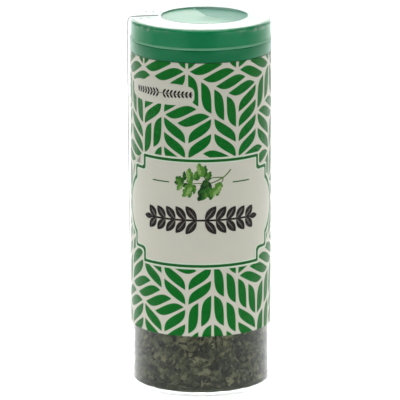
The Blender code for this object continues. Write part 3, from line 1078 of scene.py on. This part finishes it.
def make_ornaments(settings):
    """A large dark garland on the panel, a small one on the bare patch, and the panel's two rules."""
    dark = printed_finish("Dark Ink", settings.dark_ink, 0.3)
    large, veins = garland(Vector((0.0, 51.7 * MM)), 16.6 * MM, 5, 5.2 * MM, 1.6 * MM)
    small, _ = garland(Vector((-12.0 * MM, 87.8 * MM)), 9.6 * MM, 8, 1.7 * MM, 0.42 * MM)
    add_print("garland", large, ART_LIFT, dark, 0.0004 * MM)
    add_print("small_garland", small, ART_LIFT, dark, 0.0004 * MM)
    vein = printed_finish("Garland Vein", (0.17, 0.16, 0.145), 0.2)
    add_print("garland_veins", veins, ART_LIFT + 3 * ART_STEP, vein)
    rules = []
    for side in (-1, 1):
        start, end = Vector((side * 9.3 * MM, 62.4 * MM)), Vector((side * 14.9 * MM, 62.4 * MM))
        rules.append(stroke([start, (start + end) / 2, end], 0.35 * MM))
    add_print("panel_rules", rules, ART_LIFT, printed_finish("Rule Ink", settings.line_ink, 0.3))


# ---------------------------------------------------------------- film

FILM_COLUMNS = 288
# How far the film's flat top lies below the top of its box
FILM_TOP_GAP = 0.16 * MM
FILM_CORNER = 1.2 * MM
PLEAT_LIMIT = 0.03 * MM
# How far the hole's middle lies off the tube's axis
HOLE_SHIFT = Vector((1.0 * MM, 1.7 * MM))


def round_noise(turn, scale, height):
    """Smooth noise that closes on itself round the tube."""
    return noise(Vector((math.cos(turn) * scale, math.sin(turn) * scale, height)))


def film_side_radius(turn, height, settings):
    """The film's radius on its side: nearly round, slack in places, with a pinched fold at each side."""
    rise = (height - FILM_LOW.z) / (FILM_HIGH.z - FILM_LOW.z)
    ripple = round_noise(turn, 1.6, height / (22.0 * MM))
    slack = round_noise(turn, 5.0, height / (9.0 * MM) + 7.0)
    radius = FILM_HIGH.y - 0.025 * MM + 0.016 * MM * ripple + 0.008 * MM * slack
    for facing, depth in ((math.pi, settings.left_fold), (0.0, settings.right_fold)):
        wander = 0.02 * math.sin(height / (17.0 * MM) + facing)
        away = (turn - facing - wander + math.pi) % math.tau - math.pi
        pinch = math.exp(-abs(away / math.radians(2.2)) ** 1.5)
        radius += depth * (0.22 + 0.78 * rise) * pinch
    return radius


def pleat_depth(turn, run, settings):
    """Depth of the pleats that the film gathers into over its shoulder. run goes from 0 below it to 1 above it."""
    gather = 0.06 + 0.9 * max(0.0, math.cos(turn + 0.3)) ** 8 + 0.5 * max(0.0, math.cos(turn - 2.6)) ** 4
    crease = round_noise(turn, 16.0, 1.7 + run * 0.9)
    fine = round_noise(turn, 34.0, 4.1 + run * 1.6)
    envelope = math.sin(math.pi * min(max(run, 0.0), 1.0)) ** 1.2
    return settings.pleats * gather * envelope * (0.75 * crease + 0.45 * fine)


def film_point(turn, station, settings):
    """A point of the film's outer face and its outward direction in the (radius, height) plane."""
    part, t = station
    top = FILM_HIGH.z - FILM_TOP_GAP
    shoulder, corner = settings.shoulder, FILM_CORNER
    out = heading(turn)
    if part == "under":
        lean = math.radians(-38.0 * (1 - t))
        reach = 1.56 * MM
        centre = film_side_radius(turn, corner, settings) - reach
        return (centre + reach * math.cos(lean)) * out, corner + reach * math.sin(lean), lean
    if part == "side":
        height = corner + (top - shoulder - corner) * t
        run = (height - (top - shoulder - 5.5 * MM)) / (9.0 * MM)
        return (film_side_radius(turn, height, settings) + pleat_depth(turn, run, settings)) * out, height, 0.0
    side = film_side_radius(turn, top - shoulder, settings)
    if part == "shoulder":
        lean = math.pi / 2 * t
        reach = shoulder + min(pleat_depth(turn, 0.61 + 0.2 * t, settings), PLEAT_LIMIT)
        return (side - shoulder + reach * math.cos(lean)) * out, top - shoulder + reach * math.sin(lean), lean
    ragged = 1 + 0.006 * round_noise(turn, 4.0, 9.0)
    hole = settings.hole_radius * ragged * out + HOLE_SHIFT
    dip = 0.03 * MM * round_noise(turn, 7.0, 3.0 + 0.6 * t) * math.sin(math.pi * t)
    rise = min(pleat_depth(turn, 0.81 + 0.19 * t, settings), PLEAT_LIMIT) + dip
    return ((side - shoulder) * out).lerp(hole, t), top + rise, math.pi / 2


def film_stations():
    """(part, share of it) stations from the film's lower edge to its hole, closer together near the shoulder."""
    stations = [("under", k / 6) for k in range(6)]
    stations += [("side", 0.9 * k / 63) for k in range(64)]
    stations += [("side", 0.9 + k / 160) for k in range(1, 16)]
    stations += [("shoulder", k / 8) for k in range(8)]
    return stations + [("top", k / 12) for k in range(13)]


def on_film(turn, station, settings, inset=0.0):
    """A point on the film's outer face, or inset from it."""
    flat, height, lean = film_point(turn, station, settings)
    out = heading(turn) * math.cos(lean)
    return Vector((flat.x - out.x * inset, flat.y - out.y * inset, height - math.sin(lean) * inset))


def make_film(settings):
    """The clear film as a thin closed skin: up the side, over the shoulder and in to the hole on top."""
    bm = bmesh.new()
    turns, stations = full_turn(FILM_COLUMNS), film_stations()
    rings = []
    for inset, path in ((0.0, stations), (settings.thickness, stations[::-1])):
        for station in path:
            rings.append(add_ring(bm, [on_film(turn, station, settings, inset) for turn in turns]))
    bridge_all(bm, rings + rings[:1])
    add_solid("film_sleeve", bm, film_finish(settings), "jar", "clear_film", ["shrink_film"])


def add_rod(bm, path, radii, closed=False, sides=6):
    """A thin round rod along a path of points, with a radius for each."""
    rings = []
    count = len(path)
    for i, point in enumerate(path):
        before = path[i - 1] if closed or i > 0 else point
        after = path[(i + 1) % count] if closed or i < count - 1 else point
        ahead = (after - before).normalized()
        across = ahead.orthogonal() if abs(ahead.z) > 0.95 else ahead.cross(Vector((0, 0, 1))).normalized()
        up = across.cross(ahead).normalized()
        turns = full_turn(sides)
        rings.append(add_ring(bm, [point + (across * math.cos(t) + up * math.sin(t)) * radii[i] for t in turns]))
    if closed:
        rings.append(rings[0])
    else:
        bm.faces.new(rings[0])
        bm.faces.new(rings[-1][::-1])
    bridge_all(bm, rings)


def add_film_edge(name, bm, label, colour, roughness):
    material, _, _ = start_finish(label, Base_Color=colour, Roughness=roughness, Alpha=0.75)
    add_solid(name, bm, material, "jar", "clear_film")


def make_film_edges(settings):
    """The thickened lip round the film's hole, the line along the fold at -X and the tear dots beside it."""
    bm = bmesh.new()
    turns = full_turn(180)
    radii = [(0.13 + 0.08 * math.sin(t - 0.4)) * MM for t in turns]
    lip = [on_film(t, ("top", 1.0), settings, r - 0.03 * MM) for t, r in zip(turns, radii)]
    add_rod(bm, lip, radii, closed=True, sides=8)
    add_film_edge("film_lip", bm, "Film Lip", (0.26, 0.4, 0.34), 0.3)
    bm = bmesh.new()
    stations = [("side", k / 60) for k in range(3, 60)] + [("shoulder", k / 6) for k in range(7)]
    stations += [("top", k / 10) for k in range(1, 10)]
    count = len(stations)
    radii = [settings.crease * (0.2 + 0.3 * min(1.0, (k / 50) ** 2)) for k in range(count)]
    turns = [math.pi + 0.02 * math.sin(3 * k / count) for k in range(count)]
    add_rod(bm, [on_film(turn, station, settings) for turn, station in zip(turns, stations)], radii)
    for turn, part, dots in ((math.pi - 0.36, 0.25, 3), (math.pi + 0.2, 0.2, 2)):
        for k in range(dots):
            dot = on_film(turn - 0.02 * k, ("top", part + 0.28 * k), settings)
            add_rod(bm, [dot, dot + Vector((0.5 * MM, 0.0, 0.0))], [0.09 * MM] * 2)
    add_film_edge("film_crease", bm, "Film Crease", (0.14, 0.13, 0.14), 0.4)


# ---------------------------------------------------------------- dried parsley

UP = np.array([0.0, 0.0, 1.0])
FLAKE_THICKNESS = 0.1 * MM
# Least and greatest gap between a flake and the wall that it is pressed against, in mm
WALL_GAP = (0.04, 0.3)
# Share of what would stand out through the wall that a whole flake moves in by. Pressing does the rest
MOVED_IN = 0.85
# The imported middle of the fill: its depth behind the wall, and its tone from dark to straw. The low tone is
# partly packed leaf and partly painted shade between the flakes
CORE_DEPTH = 2.4 * MM
CORE_LEAF_AND_SHADE_TONE = 0.12


def unit(vectors):
    return vectors / np.linalg.norm(vectors, axis=1)[:, None]


def outward(turns):
    """Flat unit vectors at angles from +X."""
    return np.stack([np.cos(turns), np.sin(turns), np.zeros(len(turns))], 1)


def cross_axes(random, directions):
    """Two axes square to each direction, at a random turn round it."""
    first = unit(np.cross(directions, random.normal(size=directions.shape)))
    return first, np.cross(directions, first)


def tilted(random, facing, spread, count):
    """Unit vectors that lean away from a facing at random."""
    return unit(facing + random.normal(0.0, spread, (count, 3)))


def flake_template(sides):
    """Rings of a flake's two faces as (share of the reach, index of the side), and the faces between them."""
    spokes = [(0.0, 0)] + [(0.55, k) for k in range(sides)] + [(1.0, k) for k in range(sides)]
    count = len(spokes)
    faces, rim = [], []
    for k in range(sides):
        n = (k + 1) % sides
        a, b = 1 + sides + k, 1 + sides + n
        faces += [(0, 1 + k, 1 + n), (1 + k, a, b), (1 + k, b, 1 + n)]
        rim += [(a, count + a, count + b), (a, count + b, b)]
    under = [tuple(count + v for v in reversed(face)) for face in faces]
    return spokes, np.array(faces + under + rim)


def scatter_flakes(random, centres, normals, sizes, sides=7):
    """Crumpled leaf flakes, each a thin closed body. Returns vertices per flake and the faces of one."""
    spokes, faces = flake_template(sides)
    count = len(centres)
    share = np.array([s for s, _ in spokes])
    turn = np.array([math.tau * k / sides for _, k in spokes])
    jag = random.uniform(0.55, 1.15, (count, sides))
    reach = share[None, :] * np.where(share[None, :] > 0.9, jag[:, [k for _, k in spokes]], 1.0)
    narrow = random.uniform(0.4, 0.9, count)[:, None]
    half = sizes[:, None] / 2
    x = reach * np.cos(turn) * half
    y = reach * np.sin(turn) * half * narrow
    curl = random.normal(0.0, 0.32, (count, 3))[:, :, None]
    z = (curl[:, 0] * x * x + curl[:, 1] * x * y + curl[:, 2] * y * y) / half
    z += random.normal(0.0, 0.04, z.shape) * half
    local = np.stack([np.stack([x, y, z + side * FLAKE_THICKNESS / 2], -1) for side in (1, -1)], 1)
    local = local.reshape(count, -1, 3)
    axes = np.stack([*cross_axes(random, normals), normals], 1)
    return centres[:, None, :] + np.einsum("nvi,nij->nvj", local, axes), faces


def scatter_stems(random, centres, directions, sizes):
    """Bent bits of stem with five sides."""
    rings, sides = 6, 5
    count = len(centres)
    along = np.linspace(-0.5, 0.5, rings)
    first, second = cross_axes(random, directions)
    bend = random.normal(0.0, 0.5, (count, 1)) * sizes[:, None]
    radius = random.uniform(0.14, 0.3, (count, 1)) * MM * (1 - 0.35 * (along[None, :] + 0.5))
    turn = math.tau * np.arange(sides) / sides
    spine = centres[:, None, :] + directions[:, None, :] * (along[None, :] * sizes[:, None])[:, :, None]
    spine += first[:, None, :] * (bend * (along[None, :] ** 2))[:, :, None]
    ring = first[:, None, :] * np.cos(turn)[None, :, None] + second[:, None, :] * np.sin(turn)[None, :, None]
    points = spine[:, :, None, :] + radius[:, :, None, None] * ring[:, None, :, :]
    faces = []
    for r in range(rings - 1):
        for k in range(sides):
            n = (k + 1) % sides
            a, b, c, d = r * sides + k, r * sides + n, (r + 1) * sides + n, (r + 1) * sides + k
            faces += [(a, b, c), (a, c, d)]
    last = (rings - 1) * sides
    faces += [(0, k + 1, k) for k in range(1, sides - 1)]
    faces += [(last, last + k, last + k + 1) for k in range(1, sides - 1)]
    return points.reshape(count, -1, 3), np.array(faces)


def press_inside(points, wall, floor, corner):
    """Pushes points in from the tube's wall, floor and rounded corner. wall is a radius for each flake."""
    radius = np.linalg.norm(points[..., :2], axis=-1)
    height = points[..., 2]
    limit = np.broadcast_to(wall[:, None], radius.shape)
    low = floor + corner - height
    inset = np.sqrt(np.clip(corner**2 - np.clip(low, 0.0, corner) ** 2, 0.0, None))
    limit = np.where(low > 0, limit - corner + inset, limit)
    scale = np.minimum(1.0, limit / np.maximum(radius, 1e-9))
    points[..., :2] *= scale[..., None]
    points[..., 2] = np.maximum(height, floor + 0.02 * MM)
    return points


def merge_bodies(name, groups):
    """One mesh of many small bodies. groups holds (points per body, faces of one body, tone per body)."""
    vertices, faces, tones = [], [], []
    start = 0
    for points, one, tone in groups:
        count, per_body = points.shape[:2]
        offsets = start + np.arange(count) * per_body
        faces.append((one[None, :, :] + offsets[:, None, None]).reshape(-1, 3))
        vertices.append(points.reshape(-1, 3))
        tones.append(np.repeat(tone, per_body))
        start += count * per_body
    mesh = bpy.data.meshes.new(name)
    mesh.from_pydata(np.concatenate(vertices).tolist(), [], np.concatenate(faces).tolist())
    attribute = mesh.attributes.new("tone", "FLOAT", "POINT")
    attribute.data.foreach_set("value", np.concatenate(tones).astype(np.float32))
    mesh.update()
    return mesh


def flake_tones(random, count):
    """Most flakes are olive, some dark, a few pale."""
    tone = random.normal(0.43, 0.37, count)
    pale = random.random(count) < 0.04
    tone[pale] += random.uniform(0.15, 0.35, pale.sum())
    return np.clip(tone, 0.0, 1.0)


def lying_flakes(random, settings, count, reach, height, rise, facing, tilt, size_draw):
    """Flakes that lie over a disc, up to a rise above a height, and face up (1) or down (-1)."""
    turns = random.uniform(0, math.tau, count)
    centres = outward(turns) * (reach * np.sqrt(random.random(count)))[:, None]
    centres[:, 2] = height + random.uniform(*rise, count) * MM
    normals = tilted(random, np.array([0, 0, facing]), tilt, count)
    return scatter_flakes(random, centres, normals, settings.flake_size * random.lognormal(*size_draw, count))


def make_flakes(settings, tube):
    random = np.random.default_rng(settings.seed)
    wall = TUBE_HIGH.x - tube.wall
    floor, corner = tube.floor_top, tube.corner - tube.wall
    skirt = LABEL_LOW.z + 3.5 * MM
    groups = []

    count = settings.wall_flakes
    turns = random.uniform(0, math.tau, count)
    height = random.uniform(floor + 0.3 * MM, skirt, count)
    depth = random.exponential(0.7, count) * MM
    out = outward(turns)
    centres = out * (wall - 0.12 * MM - depth)[:, None] + UP * height[:, None]
    normals = tilted(random, out, 0.55, count)
    sizes = settings.flake_size * random.lognormal(0.0, 0.38, count)
    points, faces = scatter_flakes(random, centres, normals, sizes)
    limit = wall - random.uniform(*WALL_GAP, count) * MM
    beyond = np.linalg.norm(points[..., :2], axis=-1).max(axis=1) - limit
    points -= out[:, None, :] * (MOVED_IN * np.maximum(beyond, 0.0))[:, None, None]
    groups.append((press_inside(points, limit, floor, corner), faces, flake_tones(random, count)))

    count = settings.floor_flakes
    reach = wall - 0.6 * MM
    points, faces = lying_flakes(random, settings, count, reach, floor, (0.15, 1.1), -1, 0.3, (0.0, 0.35))
    limit = wall - random.uniform(*WALL_GAP, count) * MM
    points = press_inside(points, limit, floor + 0.25 * MM, corner)
    groups.append((points, faces, flake_tones(random, count)))

    count = settings.top_flakes
    reach = 13.2 * MM
    points, faces = lying_flakes(random, settings, count, reach, FILL_HIGH.z, (0.0, 0.9), 1, 0.4, (-0.1, 0.3))
    groups.append((points, faces, flake_tones(random, count)))
    finish = dried_leaf_finish("Dried Leaf", settings)
    mesh = merge_bodies("parsley_flakes", groups)
    add_piece("parsley_flakes", mesh, finish, "jar", "dried_parsley", ["dried_parsley"])


def make_stems(settings, tube):
    random = np.random.default_rng(settings.seed + 1)
    wall = TUBE_HIGH.x - tube.wall
    count = settings.stems
    turns = random.uniform(0, math.tau, count)
    height = random.uniform(tube.floor_top + 0.5 * MM, LABEL_LOW.z + 3.0 * MM, count)
    out = outward(turns)
    centres = out * (wall - random.uniform(0.35, 1.0, count) * MM)[:, None] + UP * height[:, None]
    slope = random.normal(0.0, 0.5, count)[:, None]
    directions = np.cross(UP, out) * np.cos(slope) + UP * np.sin(slope)
    points, faces = scatter_stems(random, centres, directions, random.uniform(2.0, 5.5, count) * MM)
    limit = wall - random.uniform(0.05, 0.3, count) * MM
    points = press_inside(points, limit, tube.floor_top, tube.corner - tube.wall)
    mesh = merge_bodies("parsley_stems", [(points, faces, random.uniform(0.35, 0.85, count))])
    add_piece("parsley_stems", mesh, dried_leaf_finish("Dried Stem", settings), "jar", "dried_parsley")


def make_fill_core(settings, tube):
    """The dense middle of the fill, lumpy where it shows between the flakes, in a dark tone that is partly packed
    leaf and partly painted shade.
    """
    inner = TUBE_HIGH.x - tube.wall
    wall, dust = inner - CORE_DEPTH, inner - 0.12 * MM
    plug, neck, top = BASE_HIGH.x - 4.4 * MM, BASE_LOW.z - 1.0 * MM, FILL_HIGH.z
    floor = tube.floor_top + 0.08 * MM
    profile = [(0.0, floor), (dust * 0.5, floor)] + arc((dust - 0.5 * MM, floor + 0.5 * MM), 0.5 * MM, -90, 0, 5)
    profile += [(dust, floor + 0.9 * MM), (dust - 0.5 * MM, floor + 1.7 * MM)]
    profile += [(wall, h) for h in np.linspace(floor + 3.0 * MM, LABEL_LOW.z + 6.0 * MM, 18)]
    profile += [(wall, neck - 2.0 * MM), (plug, neck), (plug, top - 0.6 * MM)]
    profile += [(plug * 0.6, top - 0.2 * MM), (0.0, top - 0.1 * MM)]
    bm = bmesh.new()
    turn_profile(bm, profile)
    for vert in bm.verts:
        flat = Vector((vert.co.x, vert.co.y, 0.0))
        if flat.length > 1 * MM:
            vert.co += flat.normalized() * min(noise(vert.co * 420.0) * 0.4 * MM, 0.05 * MM)
    packed = dried_leaf_finish("Packed Leaf", settings)
    mesh = add_solid("parsley_core", bm, packed, "jar", "dried_parsley").data
    tone = mesh.attributes.new("tone", "FLOAT", "POINT")
    tone.data.foreach_set("value", np.full(len(mesh.vertices), CORE_LEAF_AND_SHADE_TONE, np.float32))


# ---------------------------------------------------------------- stage


def add_to_scene(name, data):
    made = bpy.data.objects.new(name, data)
    bpy.context.scene.collection.objects.link(made)
    return made


def look_at(made, place, target):
    made.location = place
    made.rotation_euler = (Vector(target) - made.location).to_track_quat("-Z", "Y").to_euler()


def add_softbox(name, place, target, size, power):
    light = bpy.data.lights.new(name, "AREA")
    light.shape = "RECTANGLE"
    light.size, light.size_y = size
    light.energy = power
    look_at(add_to_scene(name, light), place, target)


def make_floor(settings):
    """A pale floor that glows behind the shaker, where the room's light would reach it."""
    bm = bmesh.new()
    bmesh.ops.create_grid(bm, x_segments=8, y_segments=8, size=3.0)
    mesh = finish_mesh("studio_floor", bm)
    matt = {"Roughness": 0.9, "Specular_IOR_Level": 0.1, "Emission_Color": (1.0, 1.0, 1.0)}
    material, tree, shader = start_finish("Studio Floor", **matt)
    shade = cloud(tree, object_place(tree), 3.0, 2.0)
    tone = blend(tree, shade, [channel * 0.985 for channel in settings.floor], settings.floor)
    tree.links.new(tone, shader.inputs["Base Color"])
    soft = {"interpolation_type": "SMOOTHSTEP"}
    glow = rise_between(tree, object_axes(tree)["Y"], -0.09, -0.02, settings.table_glow, **soft)
    tree.links.new(glow, shader.inputs["Emission Strength"])
    mesh.materials.append(material)
    add_to_scene("studio_floor", mesh)


def make_lights(settings):
    for side, name in ((-1, "left_softbox"), (1, "right_softbox")):
        add_softbox(name, (side * 1.0, -0.8, 0.28), (0, 0, 0.05), (1.3, 0.5), settings.side_power)
    add_softbox("top_softbox", (0.0, 0.05, 1.2), (0, 0, 0.1), (1.0, 0.7), settings.top_power)
    add_softbox("back_softbox", (0.0, 1.2, 0.5), (0, 0, 0.1), (1.6, 0.8), settings.back_power)
    world = bpy.data.worlds.new("studio_room")
    world.use_nodes = True
    background = world.node_tree.nodes["Background"]
    background.inputs["Color"].default_value = (1.0, 1.0, 1.0, 1.0)
    background.inputs["Strength"].default_value = settings.surround
    bpy.context.scene.world = world
    bpy.context.scene.view_settings.view_transform = "Standard"


def make_camera():
    camera = bpy.data.cameras.new("product_camera")
    camera.lens = 437.0
    camera.sensor_width = 36.0
    camera.clip_start, camera.clip_end = 0.05, 20.0
    eye = add_to_scene("product_camera", camera)
    look_at(eye, (0.0, -1.348, 0.3741), (-0.00026, 0.0, 0.0529))
    bpy.context.scene.camera = eye


# ---------------------------------------------------------------- operators


class BuildStep:
    """Runs one build function on the scene's settings."""

    def execute(self, context):
        self.build(context.scene.herb_shaker)
        return {"FINISHED"}


class HERBSHAKER_OT_tube(BuildStep, bpy.types.Operator):
    """Build the clear tube"""

    bl_idname = "herbshaker.tube"
    bl_label = "Clear tube"

    def build(self, settings):
        make_tube(settings.tube)


class HERBSHAKER_OT_parsley(BuildStep, bpy.types.Operator):
    """Fill the tube with dried parsley"""

    bl_idname = "herbshaker.parsley"
    bl_label = "Dried parsley"

    def build(self, settings):
        for make in (make_flakes, make_stems, make_fill_core):
            make(settings.parsley, settings.tube)


class HERBSHAKER_OT_closure(BuildStep, bpy.types.Operator):
    """Build the sifter base and the dial that turns on it"""

    bl_idname = "herbshaker.closure"
    bl_label = "Rotary closure"

    def build(self, settings):
        make_sifter(settings.closure)
        make_dial(settings.closure)


class HERBSHAKER_OT_label(BuildStep, bpy.types.Operator):
    """Build the label's paper and its leaf pattern"""

    bl_idname = "herbshaker.label"
    bl_label = "Label and leaf pattern"

    def build(self, settings):
        make_paper(settings.label)
        make_leaf_print(settings.label)


class HERBSHAKER_OT_panel_print(BuildStep, bpy.types.Operator):
    """Print the front panel with its sprig and garland"""

    bl_idname = "herbshaker.panel_print"
    bl_label = "Front panel"

    def build(self, settings):
        make_panel(settings.label)
        make_sprig()
        make_ornaments(settings.label)


class HERBSHAKER_OT_film(BuildStep, bpy.types.Operator):
    """Shrink the clear film over the tube and the closure"""

    bl_idname = "herbshaker.film"
    bl_label = "Shrink film"

    def build(self, settings):
        make_film(settings.film)
        make_film_edges(settings.film)


class HERBSHAKER_OT_stage(BuildStep, bpy.types.Operator):
    """Set the floor, the lights and the camera"""

    bl_idname = "herbshaker.stage"
    bl_label = "Studio stage"

    def build(self, settings):
        make_floor(settings.stage)
        make_lights(settings.stage)
        make_camera()


OPERATORS = (
    HERBSHAKER_OT_stage,
    HERBSHAKER_OT_tube,
    HERBSHAKER_OT_parsley,
    HERBSHAKER_OT_closure,
    HERBSHAKER_OT_label,
    HERBSHAKER_OT_panel_print,
    HERBSHAKER_OT_film,
)


class HERBSHAKER_PT_panel(bpy.types.Panel):
    """Lists the settings and the pieces of the shaker"""

    bl_idname = "HERBSHAKER_PT_panel"
    bl_label = "Herb Shaker"
    bl_space_type = "VIEW_3D"
    bl_region_type = "UI"
    bl_category = "Herb Shaker"

    def draw(self, context):
        settings = context.scene.herb_shaker
        for part in ("tube", "closure", "label", "film", "parsley", "stage"):
            box = self.layout.box()
            box.label(text=part.capitalize())
            group = getattr(settings, part)
            for name in group.__annotations__:
                box.prop(group, name)
        for operator in OPERATORS:
            self.layout.operator(operator.bl_idname)


CLASSES = (
    TubeSettings,
    ClosureSettings,
    LabelSettings,
    FilmSettings,
    ParsleySettings,
    StageSettings,
    HerbShakerSettings,
    *OPERATORS,
    HERBSHAKER_PT_panel,
)


def register():
    for cls in CLASSES:
        bpy.utils.register_class(cls)
    bpy.types.Scene.herb_shaker = PointerProperty(type=HerbShakerSettings)


def unregister():
    del bpy.types.Scene.herb_shaker
    for cls in reversed(CLASSES):
        bpy.utils.unregister_class(cls)


def main():
    register()
    bpy.ops.herbshaker.stage()
    bpy.ops.herbshaker.tube()
    bpy.ops.herbshaker.parsley()
    bpy.ops.herbshaker.closure()
    bpy.ops.herbshaker.label()
    bpy.ops.herbshaker.panel_print()
    bpy.ops.herbshaker.film()


if __name__ == "__main__":
    main()
